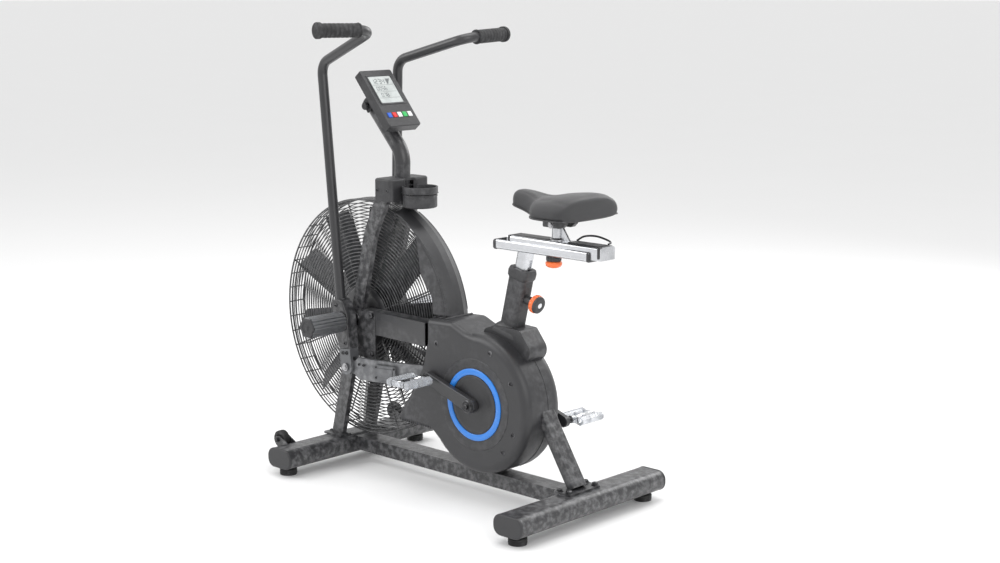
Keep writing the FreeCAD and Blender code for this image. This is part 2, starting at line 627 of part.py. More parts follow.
def crank_drive():
    spindle = rod_y(CRANK_X, CRANK_Z, SPINDLE_R, -CRANK_OUT, CRANK_OUT)
    cam_dx = -ECC_OFFSET * cos(radians(CRANK_ANGLE))
    cam_dz = ECC_OFFSET * sin(radians(CRANK_ANGLE))
    left_cam = rod_y(CRANK_X + cam_dx, CRANK_Z + cam_dz, ECC_R, -ECC_OUT, -ECC_IN)
    right_cam = rod_y(CRANK_X - cam_dx, CRANK_Z - cam_dz, ECC_R, ECC_IN, ECC_OUT)
    pieces["crank_spindle"] = spindle.fuse([left_cam, right_cam]).removeSplitter()
    left_arm = crank_arm(CRANK_ANGLE)
    pieces["left_crank"] = left_arm
    pieces["right_crank"] = mirrored(swung(left_arm, 180.0, CRANK_X, CRANK_Z))
    reach_x = CRANK_LENGTH * cos(radians(CRANK_ANGLE))
    reach_z = CRANK_LENGTH * sin(radians(CRANK_ANGLE))
    pieces["left_pedal"] = pedal(CRANK_X - reach_x, CRANK_Z + reach_z)
    pieces["right_pedal"] = mirrored(pedal(CRANK_X + reach_x, CRANK_Z - reach_z))

    wheel = pulley(CRANK_X, CRANK_Z, BIG_PULLEY_R, STAGE_ONE)
    windows = [swung(rod_y(CRANK_X + 56, CRANK_Z, 20.0, 0, 60), 60.0 * i, CRANK_X,
                     CRANK_Z) for i in range(6)]
    pieces["crank_pulley"] = wheel.cut(windows + [rod_y(CRANK_X, CRANK_Z, SPINDLE_R, 0, 60)])
    jack = rod_y(JACK_X, JACK_Z, JACK_R, STAGE_ONE[0] - 3, RIGHT_RAIL_OUT)
    jack = jack.fuse([pulley(JACK_X, JACK_Z, SMALL_PULLEY_R, STAGE_ONE),
                      pulley(JACK_X, JACK_Z, JACK_PULLEY_R, STAGE_TWO)])
    pieces["jackshaft"] = jack.removeSplitter()
    belt_one = belt(CRANK_X, CRANK_Z, BIG_PULLEY_R, JACK_X, JACK_Z, SMALL_PULLEY_R, STAGE_ONE)
    belt_two = belt(JACK_X, JACK_Z, JACK_PULLEY_R, FAN_X, FAN_Z, FAN_PULLEY_R, STAGE_TWO)
    pieces["drive_belts"] = group([belt_one, belt_two])

    fan_races = [ring_y(FAN_X, FAN_Z, 16.0 - FIT, AXLE_R, -HUB_HALF, -HUB_HALF + 11),
                 ring_y(FAN_X, FAN_Z, 16.0 - FIT, AXLE_R, HUB_HALF - 11, HUB_HALF)]
    crank_races = [ring_y(CRANK_X, CRANK_Z, 16.0, SPINDLE_R + FIT, y, y + 10) for y in (-38.0, 10.0)]
    jack_race = [ring_y(JACK_X, JACK_Z, 14.0, JACK_R + FIT, RIGHT_RAIL_OUT - WALL, RIGHT_RAIL_OUT)]
    pieces["ball_bearings"] = group(fan_races + crank_races + jack_race)


# ---------------------------------------------------------------- swinging arms and push rods

def arm_pieces(swing):
    """Left arm, upright about the axle, then swung. Returns tube, grip, lever and push rod."""
    foot_point = V(FAN_X + ARM_FOOT[0], -ARM_Y, FAN_Z + ARM_FOOT[1])
    elbow = V(FAN_X + ARM_ELBOW[0], -ARM_Y, FAN_Z + ARM_ELBOW[1])
    wrist = V(FAN_X + ARM_WRIST[0], -ARM_WRIST[1], FAN_Z + ARM_WRIST[2])
    end = V(FAN_X + ARM_END[0], -ARM_END[1], FAN_Z + ARM_END[2])
    path = [foot_point, elbow, wrist, end]
    tube = bar(path, ARM_R, 42.0).cut(bar(path, ARM_R - 2.5, 42.0))
    bracket = side_plate([(FAN_X - 37, FAN_Z + 62, 14), (FAN_X + 8, FAN_Z + 62, 20),
                          (FAN_X + 23, FAN_Z + 20, 20), (FAN_X + 22, FAN_Z - 78), (FAN_X - 22, FAN_Z - 78),
                          (FAN_X - 34, FAN_Z - 10, 30)],
                         -BRACKET_OUT, -BRACKET_IN)
    bracket = bracket.makeFillet(5.0, face_edges(bracket, -BRACKET_OUT))
    arm = tube.fuse(bracket).removeSplitter()
    arm = arm.cut(rod_y(FAN_X, FAN_Z, AXLE_R + FIT, -BRACKET_OUT - 1, -BRACKET_IN + 1))

    grip_way = end.sub(wrist)
    grip_way.normalize()
    grip_start = wrist.add(grip_way * 46.0)
    grip_length = end.distanceToPoint(grip_start)
    grip = Part.makeCylinder(ARM_R + 4.5, grip_length, grip_start, grip_way)
    grip = grip.fuse(Part.makeCylinder(ARM_R + 8, 9.0, end, grip_way))
    grip = grip.cut(Part.makeCylinder(ARM_R, grip_length, grip_start, grip_way))

    pin_z = FAN_Z - LEVER
    outline = [(FAN_X - LEVER_R, FAN_Z - 78), (FAN_X - LEVER_R, pin_z - LEVER_R, 21.0),
               (FAN_X + LEVER_R, pin_z - LEVER_R, 21.0), (FAN_X + LEVER_R, FAN_Z - 78)]
    lever = side_plate(outline, -BRACKET_OUT + 2, -BRACKET_IN - 2)
    lever = lever.cut(box(FAN_X - 40, FAN_X + 40, -ARM_Y - LINK_T / 2 - 1, -ARM_Y + LINK_T / 2 + 1,
                          pin_z - 40, FAN_Z - 78 - 24))
    lever = lever.fuse(rod_y(FAN_X, pin_z, PIN_R, -BRACKET_OUT - 2, -BRACKET_IN - 2)).removeSplitter()

    turned = [swung(shape, swing) for shape in (arm, grip, lever)]
    pin_x = FAN_X + LEVER * sin(radians(-swing))
    pin_z = FAN_Z - LEVER * cos(radians(swing))
    return turned + [push_rod(pin_x, pin_z)]


def push_rod(pin_x, pin_z):
    """Flat rod: an eye at the lever, a taller body, and two bends inwards to the crank's plane."""
    half = LINK_T / 2.0
    outer = [(pin_x - 20, -ARM_Y - half), (pin_x + 40, -ARM_Y - half), (pin_x + 90, -ARM_Y - half + 6, 60),
             (pin_x + 185, -LINK_INNER_Y - half - 22, 60), (pin_x + 240, -LINK_INNER_Y - half, 30),
             (pin_x + 372, -LINK_INNER_Y - half)]
    inner = [(pin_x + 372, -LINK_INNER_Y + half), (pin_x + 238, -LINK_INNER_Y + half, 30),
             (pin_x + 182, -LINK_INNER_Y + half - 22, 60), (pin_x + 88, -ARM_Y + half + 6, 60),
             (pin_x + 40, -ARM_Y + half), (pin_x - 20, -ARM_Y + half)]
    rod = plan_plate(outer + inner, pin_z - LINK_HALF, pin_z + LINK_HALF)
    eye_top = [(pin_x + 56, pin_z + 45), (pin_x + 36, pin_z + LINK_HALF - 4, 6),
               (pin_x + 24, pin_z + 18, 10),
               (pin_x - 19, pin_z + 18, 17)]
    eye_low = [(pin_x - 19, pin_z - 18, 17), (pin_x + 24, pin_z - 18, 10),
               (pin_x + 36, pin_z - LINK_HALF + 4, 6), (pin_x + 56, pin_z - 45)]
    body_end = [(pin_x + 400, pin_z - 45), (pin_x + 400, pin_z + 45)]
    eye_side = side_plate(eye_top + eye_low + body_end, -150, 0)
    rod = rod.common(eye_side)
    return rod.cut(rod_y(pin_x, pin_z, PIN_R + FIT, -150, -60))


def arms():
    for side, swing in (("left", LEFT_SWING), ("right", RIGHT_SWING)):
        shapes = arm_pieces(swing)
        if side == "right":
            shapes = [mirrored(shape) for shape in shapes]
        for name, shape in zip(("handle", "grip", "lever", "link"), shapes):
            pieces[side + "_" + name] = shape


# ---------------------------------------------------------------- seat

def saddle_cushion():
    half_rear = 124.0
    outline = [(650, -30, 28), (650, 30, 28), (742, 44, 60), (790, half_rear, 50), (880, half_rear, 60),
               (908, 60, 60), (908, -60, 60), (880, -half_rear, 60), (790, -half_rear, 50), (742, -44, 60)]
    body = plan_plate(outline, SADDLE_BOTTOM, SADDLE_TOP)
    nose_cut = side_plate([(600, SADDLE_BOTTOM - 5), (735, SADDLE_BOTTOM - 5), (690, SADDLE_BOTTOM + 18),
                           (600, SADDLE_BOTTOM + 26)], -200, 200)
    return body.cut(nose_cut)


def seat():
    tube = oval_bar(TUBE_X, TUBE_Y, 14.0, TUBE_FROM, TUBE_TO)
    tube = tube.cut(oval_bar(POST_X + 2 * SLIDE_GAP, POST_Y + 2 * SLIDE_GAP, 12.0, TUBE_FROM + 3,
                             TUBE_TO + 1))
    boss = Part.makeCylinder(12.0, 24.0, V(POST_X / 2 + 2, 0, TUBE_TO - KNOB_DROP), V(1, 0, 0))
    tube = tube.fuse(boss).removeSplitter()
    tube = tube.cut(Part.makeCylinder(6.0 + FIT, 60.0, V(0, 0, TUBE_TO - KNOB_DROP), V(1, 0, 0)))
    pieces["seat_tube"] = along_seat_tube(tube)

    post = oval_bar(POST_X, POST_Y, 12.0, POST_FROM, POST_TO)
    post = post.cut(box(POST_X / 2 - GROOVE, POST_X / 2 + 1, -7, 7, POST_FROM - 1, POST_TO - 40))
    for i in range(LOCK_HOLES):
        height = TUBE_TO - KNOB_DROP - LOCK_PITCH * i
        post = post.cut(Part.makeCylinder(6.6, 14.0, V(POST_X / 2 - 12, 0, height), V(1, 0, 0)))
    post = along_seat_tube(post).cut(box(500, 1000, -60, 60, RAIL_BOTTOM + 2, 900))
    x0, x1 = SEAT_RAIL_X
    channel = box(x0, x1, -RAIL_HALF, RAIL_HALF, RAIL_BOTTOM, RAIL_BOTTOM + RAIL_HEIGHT)
    channel = channel.makeFillet(6.0, [e for e in channel.Edges
                                       if all(abs(abs(v.Point.y) - RAIL_HALF) < 1e-4 for v in e.Vertexes)
                                       and e.Length > 200])
    run = box(x0 - 1, x1 + 1, -SLIDE_HALF - SLIDE_GAP, SLIDE_HALF + SLIDE_GAP,
              RAIL_BOTTOM + 6 - SLIDE_GAP, RAIL_BOTTOM + RAIL_HEIGHT + 1)
    knob_hole = Part.makeCylinder(6.0 + FIT, 40, V(RAIL_KNOB_X, 0, RAIL_BOTTOM - 20))
    channel = channel.cut([run, knob_hole])
    pieces["seat_post"] = post.cut(run).fuse(channel).removeSplitter()

    slide = box(SLIDE_X[0], SLIDE_X[1], -SLIDE_HALF, SLIDE_HALF, RAIL_BOTTOM + 6, RAIL_BOTTOM + 40)
    slide = slide.makeFillet(7.0, [e for e in slide.Edges
                                   if all(abs(v.Point.z - RAIL_BOTTOM - 40) < 1e-4 for v in e.Vertexes)
                                   and e.Length > 200])
    slide = slide.cut(box(SLIDE_X[0] + 20, SLIDE_X[1] - 20, -7, 7, RAIL_BOTTOM + 5,
                          RAIL_BOTTOM + 6 + GROOVE))
    for i in range(LOCK_HOLES):
        hole_x = RAIL_KNOB_X + LOCK_PITCH * (i - 3)
        slide = slide.cut(Part.makeCylinder(6.6, 14, V(hole_x, 0, RAIL_BOTTOM + 5)))
    stem = Part.makeCylinder(STEM_R, PIVOT_Z - 11 - RAIL_BOTTOM - 38, V(STEM_X, 0, RAIL_BOTTOM + 38))
    eye = rod_y(STEM_X, PIVOT_Z, 10.0, -12, 12)
    neck = box(STEM_X - 8, STEM_X + 8, -12, 12, PIVOT_Z - 14, PIVOT_Z)
    stem = stem.fuse([neck, eye]).cut(rod_y(STEM_X, PIVOT_Z, 5.0 + FIT, -13, 13))
    gusset = side_plate([(STEM_X + 8, RAIL_BOTTOM + 38), (STEM_X + 44, RAIL_BOTTOM + 38),
                         (STEM_X + 20, RAIL_BOTTOM + 72), (STEM_X + 8, RAIL_BOTTOM + 72)], -3, 3)
    pieces["saddle_carriage"] = slide.fuse([stem, gusset]).removeSplitter()

    clamp = side_plate([(STEM_X - 28, PIVOT_Z - 7, 4), (STEM_X + 34, PIVOT_Z - 7, 8),
                        (STEM_X + 46, PIVOT_Z + 4, 6), (STEM_X + 46, SADDLE_BOTTOM),
                        (STEM_X - 28, SADDLE_BOTTOM)], -27, 27)
    clamp = clamp.cut(box(STEM_X - 30, STEM_X + 50, -13, 13, PIVOT_Z - 20, PIVOT_Z + 13))
    clamp = clamp.fuse(rod_y(STEM_X, PIVOT_Z, 5.0, -20, 20)).removeSplitter()
    pieces["saddle_clamp"] = clamp
    pieces["saddle"] = saddle_cushion()

    shaft = Part.makeCylinder(6.0, 42.0, V(POST_X / 2 - GROOVE + 1, 0, 0), V(1, 0, 0))
    collar = Part.makeCylinder(12.0, 12.0, V(POST_X / 2 + 28, 0, 0), V(1, 0, 0))
    head = Part.makeCylinder(25.0, 20.0, V(POST_X / 2 + 38, 0, 0), V(1, 0, 0))
    head = head.makeFillet(4.0, [e for e in head.Edges if e.Closed])
    knob = shaft.fuse([collar, head]).removeSplitter()
    knob.translate(V(0, 0, TUBE_TO - KNOB_DROP))
    pieces["post_knob"] = along_seat_tube(knob)

    pin = Part.makeCylinder(6.0, 27.0, V(RAIL_KNOB_X, 0, RAIL_BOTTOM - 18))
    neck = Part.makeCone(20.0, 12.0, 12.0, V(RAIL_KNOB_X, 0, RAIL_BOTTOM - 20))
    dome = Part.makeCylinder(22.0, 14.0, V(RAIL_KNOB_X, 0, RAIL_BOTTOM - 34))
    dome = dome.makeFillet(6.0, [e for e in dome.Edges if e.Closed])
    pieces["rail_knob"] = pin.fuse([neck, dome]).removeSplitter()


# ---------------------------------------------------------------- console

BUTTON_SPOTS = (("up_button", 38.0), ("start_button", 19.0), ("down_button", 0.0), ("stop_button", -19.0),
                ("mode_button", -38.0))


def console_frame(shape):
    """Console pieces are made lying flat, face up, top edge towards -X, then tilted to the rider."""
    placed = shape.copy()
    placed.rotate(V(0, 0, 0), V(0, 1, 0), 90.0 - CONSOLE_LEAN)
    placed.translate(V(CONSOLE_X, 0, CONSOLE_Z))
    return placed


def console():
    half_h = CONSOLE_H / 2.0
    half_w = CONSOLE_W / 2.0
    case = plan_plate([(-half_h, -half_w, 7), (half_h, -half_w, 7), (half_h, half_w, 7),
                       (-half_h, half_w, 7)],
                      -CONSOLE_T, 0)
    case = case.makeFillet(3.0, [e for e in case.Edges if all(abs(v.Point.z) < 1e-4 for v in e.Vertexes)])
    ears = [box(-38, -4, y, y + 5, -CONSOLE_T - 48, -CONSOLE_T + 1) for y in (-32.0, 27.0)]
    case = case.fuse(ears).removeSplitter()
    screen_x0 = -half_h + 22
    screen_x1 = screen_x0 + 92
    screen_y = 42.0
    case = case.cut(box(screen_x0, screen_x1, -screen_y, screen_y, -2.5, 1))
    button_x = half_h - 38
    for name, y in BUTTON_SPOTS:
        case = case.cut(box(button_x - 8.3, button_x + 8.3, y - 7.3, y + 7.3, -8, 1))
        button = box(button_x - 8, button_x + 8, y - 7, y + 7, -6, 2)
        top_edges = [e for e in button.Edges if all(abs(v.Point.z - 2) < 1e-4 for v in e.Vertexes)]
        button = button.makeFillet(1.2, top_edges)
        pieces[name] = console_frame(button)
    pivot_pin = rod_y(CONSOLE_PIVOT_X, CONSOLE_PIVOT_Z, CONSOLE_PIVOT_R - FIT, -36, 36)
    pieces["console_case"] = console_frame(case).fuse(pivot_pin).removeSplitter()
    glass = box(screen_x0, screen_x1, -screen_y, screen_y, -2.5, -0.5)
    pieces["console_screen"] = console_frame(glass)


# ---------------------------------------------------------------- transport wheels and fasteners

def transport_wheels():
    forks = []
    for side, name in ((-1, "left_wheel"), (1, "right_wheel")):
        y = side * WHEEL_Y
        tyre = rod_y(WHEEL_X, WHEEL_Z, WHEEL_R, y - WHEEL_W / 2, y + WHEEL_W / 2)
        tyre = tyre.makeFillet(4.0, [e for e in tyre.Edges if e.Closed])
        pieces[name] = tyre.cut(rod_y(WHEEL_X, WHEEL_Z, 5.0 + FIT, y - 20, y + 20))
        cheeks = []
        for inner in (WHEEL_W / 2 + 1.5, -WHEEL_W / 2 - 5.5):
            outline = [(WHEEL_X - 11, WHEEL_Z + 11, 10.5), (WHEEL_X - 11, WHEEL_Z - 11, 10.5),
                       (WHEEL_X + 26, 44, 4),
                       (WHEEL_X + 44, 60, 4), (WHEEL_X + 44, STAB_TOP, 4), (WHEEL_X + 11, WHEEL_Z + 11, 10)]
            cheeks.append(side_plate(outline, y + inner, y + inner + 4))
        pin = rod_y(WHEEL_X, WHEEL_Z, 5.0, y - WHEEL_W / 2 - 9, y + WHEEL_W / 2 + 9)
        fork = cheeks[0].fuse([cheeks[1], pin]).removeSplitter()
        forks.append(fork.cut(side_plate(stabilizer_outline(FRONT_STAB_X), y - 60, y + 60)))
    pieces["wheel_forks"] = group(forks)


def fasteners():
    screws = []
    for x, z in COVER_SCREWS:
        screws.append(rod_y(x, z, 4.0, -LEFT_FACE - 2.5, -LEFT_FACE))
    for x, y in ((852, -52), (884, -52), (852, 52), (884, 52)):
        screws.append(Part.makeCylinder(7.0, 8.0, V(x, y, STAB_TOP + 5)))
    foot_x = FAN_X - tan(radians(LEG_TILT)) * (FAN_Z - STAB_TOP)
    for side in (-1, 1):
        screws.append(Part.makeCylinder(5.0, 4.0, V(foot_x - 33, side * 60, STAB_TOP + 5)))
    pieces["fasteners"] = group(screws)


floor_frame()
fork_and_rails()
mast_and_cup_holder()
housing()
fan()
crank_drive()
arms()
seat()
console()
transport_wheels()
fasteners()

os.makedirs("parts", exist_ok=True)
for name, shape in pieces.items():
    shape.translate(V(-MID_X, 0, 0))
    shape.exportStep("parts/" + name + ".step")
    solids = shape.Solids
    volume = round(sum(solid.Volume for solid in solids))
    print(name, "solids", len(solids), "valid", shape.isValid(), "volume", volume)
print("nodes", len(pieces), "mid", MID_X)
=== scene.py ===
import json
import math
import random

import bmesh
import bpy
from mathutils import Matrix, Vector


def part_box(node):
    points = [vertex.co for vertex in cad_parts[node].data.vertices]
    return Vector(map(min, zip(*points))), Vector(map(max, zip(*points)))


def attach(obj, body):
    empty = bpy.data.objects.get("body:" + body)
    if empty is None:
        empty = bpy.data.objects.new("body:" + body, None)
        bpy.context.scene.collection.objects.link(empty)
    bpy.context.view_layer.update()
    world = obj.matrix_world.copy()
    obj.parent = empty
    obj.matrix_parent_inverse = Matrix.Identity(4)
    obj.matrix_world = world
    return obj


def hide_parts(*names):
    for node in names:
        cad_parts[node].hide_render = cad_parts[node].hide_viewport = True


bl_info = {
    "name": "Air bike looks",
    "version": (1, 0, 0),
    "blender": (4, 5, 0),
    "location": "3D View > Sidebar > Air bike",
    "description": "Builds the visible pieces and finishes of a fan-resistance exercise bike round its packed frame",
    "category": "Object",
}

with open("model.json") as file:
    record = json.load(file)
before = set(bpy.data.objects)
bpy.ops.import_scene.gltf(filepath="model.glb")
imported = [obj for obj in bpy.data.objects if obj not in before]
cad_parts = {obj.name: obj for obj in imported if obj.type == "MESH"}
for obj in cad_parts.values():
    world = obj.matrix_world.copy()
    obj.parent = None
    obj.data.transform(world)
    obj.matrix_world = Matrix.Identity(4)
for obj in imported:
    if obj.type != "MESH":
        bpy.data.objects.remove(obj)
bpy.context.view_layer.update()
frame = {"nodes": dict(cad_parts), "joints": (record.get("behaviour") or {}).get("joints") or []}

MM = 0.001
FOOT_LOW, FOOT_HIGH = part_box("leveling_feet")
FOOT_RADIUS = 24 * MM
FRONT_FEET_X = FOOT_LOW.x + FOOT_RADIUS
JOINT = {joint["name"]: joint for joint in frame["joints"]}
SIDES = {"left": -1, "right": 1}


def at(x, y, z):
    """A point given in millimetres behind the front feet, to the right of the middle, and above the floor."""
    return Vector((FRONT_FEET_X + x * MM, y * MM, z * MM))


def joint_place(name):
    return Vector(JOINT[name]["pos_m"])


FAN = joint_place("fan_spin")
CRANK = joint_place("crank_spin")
X_WAY = Vector((1, 0, 0))
Y_WAY = Vector((0, 1, 0))
Z_WAY = Vector((0, 0, 1))
COVER_FACE = {"left": 84 * MM, "right": 60 * MM}


# ---------------------------------------------------------------- settings

def colour_property(name, description, default):
    return bpy.props.FloatVectorProperty(name=name, description=description, default=default, size=3,
                                         min=0.0, max=1.0, subtype="COLOR")


def length_property(name, description, default, low=0.0002, high=1.0):
    return bpy.props.FloatProperty(name=name, description=description, default=default, min=low, max=high,
                                   subtype="DISTANCE", unit="LENGTH")


class AirBikeColours(bpy.types.PropertyGroup):
    paint: colour_property("Frame paint", "Satin powder coat of the frame", (0.022, 0.022, 0.024))
    plastic: colour_property("Black plastic", "Moulded covers, caps and case", (0.024, 0.024, 0.026))
    link_paint: colour_property("Linkage paint", "Levers and push rods", (0.115, 0.118, 0.124))
    trim: colour_property("Trim rings", "Rings round the crank", (0.018, 0.185, 0.62))
    knob: colour_property("Adjuster knobs", "Pull knobs of the seat", (0.82, 0.15, 0.03))
    vinyl: colour_property("Saddle vinyl", "Padded saddle cover", (0.020, 0.020, 0.022))
    floor: colour_property("Floor", "Pale studio floor", (0.86, 0.86, 0.86))


class AirBikeSizes(bpy.types.PropertyGroup):
    guard_wire: length_property("Guard wire", "Radius of the guard's round wires", 0.0016, high=0.01)
    guard_pitch: length_property("Guard pitch", "Distance between neighbouring rings", 0.0100, low=0.004)
    saddle_crown: length_property("Saddle crown", "Rise of the saddle's middle over its edge", 0.013,
                                  high=0.05)
    saddle_piping: length_property("Saddle piping", "Radius of the piping round the saddle's foot", 0.0020,
                                   high=0.01)
    knob_flutes: bpy.props.IntProperty(name="Knob flutes", description="Grip flutes round a pull knob",
                                       default=18, min=6, max=48)


class AirBikeStage(bpy.types.PropertyGroup):
    lens: bpy.props.FloatProperty(name="Lens", description="Focal length on a 36 mm sensor, in millimetres",
                                  default=61.2, min=20.0, max=200.0)
    azimuth: bpy.props.FloatProperty(name="Azimuth", description="Camera bearing round the bike",
                                     unit="ROTATION",
                                     subtype="ANGLE", default=math.radians(43.19))
    pitch: bpy.props.FloatProperty(name="Pitch", description="Camera tilt below the horizon",
                                   unit="ROTATION",
                                   subtype="ANGLE", default=math.radians(10.26))
    key_power: bpy.props.FloatProperty(name="Key light", description="Power of the main soft light, in watts",
                                       default=95.0, min=0.0, max=2000.0)


class AirBikeSettings(bpy.types.PropertyGroup):
    colours: bpy.props.PointerProperty(type=AirBikeColours)
    sizes: bpy.props.PointerProperty(type=AirBikeSizes)
    stage: bpy.props.PointerProperty(type=AirBikeStage)


# ---------------------------------------------------------------- mesh helpers

def rounded(points, steps=5):
    """Closed 2-D outline whose points (a, b, radius) are turned into arcs."""
    line = []
    count = len(points)
    for i, point in enumerate(points):
        here = Vector(point[:2])
        radius = point[2] if len(point) > 2 else 0.0
        if not radius:
            line.append(here)
            continue
        before = (Vector(points[i - 1][:2]) - here).normalized()
        after = (Vector(points[(i + 1) % count][:2]) - here).normalized()
        half = before.angle(after) / 2
        entry = here + before * (radius / math.tan(half))
        leave = here + after * (radius / math.tan(half))
        centre = here + (before + after).normalized() * (radius / math.sin(half))
        for step in range(steps + 1):
            share = step / steps
            way = (entry.lerp(leave, share) - centre).normalized()
            line.append(centre + way * radius)
    return line


def axes_for(axis):
    axis = Vector(axis).normalized()
    helper = Z_WAY if abs(axis.z) < 0.9 else X_WAY
    side = axis.cross(helper).normalized()
    return axis, side, axis.cross(side)


def loft(bm, loops, closed=False, caps=True):
    """Joins rings of points, all with the same count, into one skin."""
    rings = [[bm.verts.new(point) for point in loop] for loop in loops]
    pairs = list(zip(rings, rings[1:]))
    if closed:
        pairs.append((rings[-1], rings[0]))
    for lower, upper in pairs:
        for i in range(len(lower)):
            j = (i + 1) % len(lower)
            bm.faces.new((lower[i], lower[j], upper[j], upper[i]))
    if caps and not closed:
        bm.faces.new(list(reversed(rings[0])))
        bm.faces.new(rings[-1])
    return rings


def prism_y(bm, outline, y0, y1):
    """Outline of points (x, z) in metres, made thick along Y."""
    loft(bm, [[Vector((p[0], y, p[1])) for p in outline] for y in (y0, y1)])


def local_prism(bm, outline, low, high, place):
    """Outline in the local x and y of place, made thick along its local z."""
    loft(bm, [[place @ Vector((p[0], p[1], height)) for p in outline] for height in (low, high)])


def lathe(bm, profile, centre, axis, steps=48):
    """Turns (radius, along) points about an axis. A radius of 0 closes an end."""
    axis, side, up = axes_for(axis)
    loops = []
    for radius, along in profile:
        radius = max(radius, 0.00005)
        loops.append([centre + axis * along + side * (radius * math.cos(2 * math.pi * i / steps))
                      + up * (radius * math.sin(2 * math.pi * i / steps)) for i in range(steps)])
    loft(bm, loops)


def washer(bm, profile, centre, axis, steps=64):
    """Turns a closed outline of (radius, along) points about an axis."""
    axis, side, up = axes_for(axis)
    loops = []
    for radius, along in profile:
        loops.append([centre + axis * along + side * (radius * math.cos(2 * math.pi * i / steps))
                      + up * (radius * math.sin(2 * math.pi * i / steps)) for i in range(steps)])
    loft(bm, loops, closed=True)


def sweep(bm, points, radius, sides=10, closed=False):
    """Round wire along a line of points."""
    count = len(points)
    loops = []
    side = None
    for i, point in enumerate(points):
        before = points[i - 1] if (i or closed) else point
        after = points[(i + 1) % count] if (i < count - 1 or closed) else point
        way = (after - before).normalized()
        if side is None:
            side = axes_for(way)[1]
        side = (side - way * side.dot(way)).normalized()
        up = way.cross(side)
        loops.append([point + side * (radius * math.cos(2 * math.pi * k / sides))
                      + up * (radius * math.sin(2 * math.pi * k / sides)) for k in range(sides)])
    loft(bm, loops, closed=closed)


def circle(centre, radius, y, steps=120, start=0.0, turn=360.0):
    """Points of a circle, or an arc of it, in a plane across Y. Angles rise from +X towards +Z."""
    whole = turn >= 360.0
    count = steps if whole else steps + 1
    return [centre + Vector((radius * math.cos(math.radians(start + turn * i / steps)), y,
                             radius * math.sin(math.radians(start + turn * i / steps)))) for i in range(count)]


def smooth_line(points, steps=10):
    """A Catmull-Rom line through the points."""
    padded = [points[0] * 2 - points[1], *points, points[-1] * 2 - points[-2]]
    line = []
    for a, b, c, d in zip(padded, padded[1:], padded[2:], padded[3:]):
        for k in range(steps):
            t = k / steps
            line.append(0.5 * (2 * b + (c - a) * t + (2 * a - 5 * b + 4 * c - d) * t * t
                               + (3 * b - a - 3 * c + d) * t ** 3))
    line.append(points[-1])
    return line


def piece(name, bm, body, material, bevel=0.0, angle=38.0, segments=2):
    """Turns the mesh into an object that rides on a body."""
    bmesh.ops.remove_doubles(bm, verts=bm.verts, dist=1e-6)
    bmesh.ops.recalc_face_normals(bm, faces=bm.faces)
    if bevel:
        sharp = [e for e in bm.edges if len(e.link_faces) == 2 and e.calc_face_angle(0) > math.radians(angle)]
        bmesh.ops.bevel(bm, geom=sharp, offset=bevel, segments=segments, affect="EDGES", clamp_overlap=True)
    mesh = bpy.data.meshes.new(name)
    bm.to_mesh(mesh)
    bm.free()
    mesh.polygons.foreach_set("use_smooth", [True] * len(mesh.polygons))
    mesh.set_sharp_from_angle(angle=math.radians(angle))
    mesh.materials.append(material)
    obj = bpy.data.objects.new(name, mesh)
    bpy.context.scene.collection.objects.link(obj)
    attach(obj, body)
    return obj


def socket_screw(bm, centre, axis, radius, height):
    """Button head with a hexagon socket."""
    deep = height * 0.55
    lathe(bm, [(radius, 0), (radius, height * 0.35), (radius * 0.86, height * 0.8), (radius * 0.62, height),
               (radius * 0.5, height), (radius * 0.47, height - deep),
               (0, height - deep)], centre, axis, 24)


def hex_bolt(bm, centre, axis, across, height):
    """Washer, hexagon and a low dome."""
    lathe(bm, [(across * 0.78, 0), (across * 0.78, height * 0.2),
               (across * 0.6, height * 0.22)], centre, axis, 32)
    head = Vector(axis).normalized() * (height * 0.2)
    lathe(bm, [(across * 0.577, 0), (across * 0.577, height * 0.62), (across * 0.5, height * 0.72)],
          centre + head, axis, 6)
    lathe(bm, [(across * 0.42, height * 0.9), (across * 0.3, height), (0, height * 1.04)], centre, axis, 24)


# ---------------------------------------------------------------- finishes

def new_group(name, inputs, outputs):
    group = bpy.data.node_groups.new(name, "ShaderNodeTree")
    for label, kind, default in inputs:
        socket = group.interface.new_socket(name=label, in_out="INPUT", socket_type=kind)
        socket.default_value = default
    for label, kind in outputs:
        group.interface.new_socket(name=label, in_out="OUTPUT", socket_type=kind)
    return group, group.nodes.new("NodeGroupInput"), group.nodes.new("NodeGroupOutput")


def noise(tree, scale, detail, vector, rough=0.6):
    node = tree.nodes.new("ShaderNodeTexNoise")
    node.inputs["Detail"].default_value = detail
    node.inputs["Roughness"].default_value = rough
    tree.links.new(vector, node.inputs["Vector"])
    if isinstance(scale, float):
        node.inputs["Scale"].default_value = scale
    else:
        tree.links.new(scale, node.inputs["Scale"])
    return node.outputs["Fac"]


def arithmetic(tree, operation, a, b, clamp=False):
    node = tree.nodes.new("ShaderNodeMath")
    node.operation = operation
    node.use_clamp = clamp
    for socket, value in zip(node.inputs, (a, b)):
        if isinstance(value, (int, float)):
            socket.default_value = value
        else:
            tree.links.new(value, socket)
    return node.outputs[0]


def spread(tree, value, low, high, to_low, to_high):
    node = tree.nodes.new("ShaderNodeMapRange")
    tree.links.new(value, node.inputs["Value"])
    for label, number in (("From Min", low), ("From Max", high), ("To Min", to_low), ("To Max", to_high)):
        node.inputs[label].default_value = number
    return node.outputs["Result"]


def mix_colour(tree, factor, a, b):
    node = tree.nodes.new("ShaderNodeMix")
    node.data_type = "RGBA"
    for socket, value in ((node.inputs[0], factor), (node.inputs[6], a), (node.inputs[7], b)):
        if hasattr(value, "links"):
            tree.links.new(value, socket)
        else:
            socket.default_value = value
    return node.outputs[2]


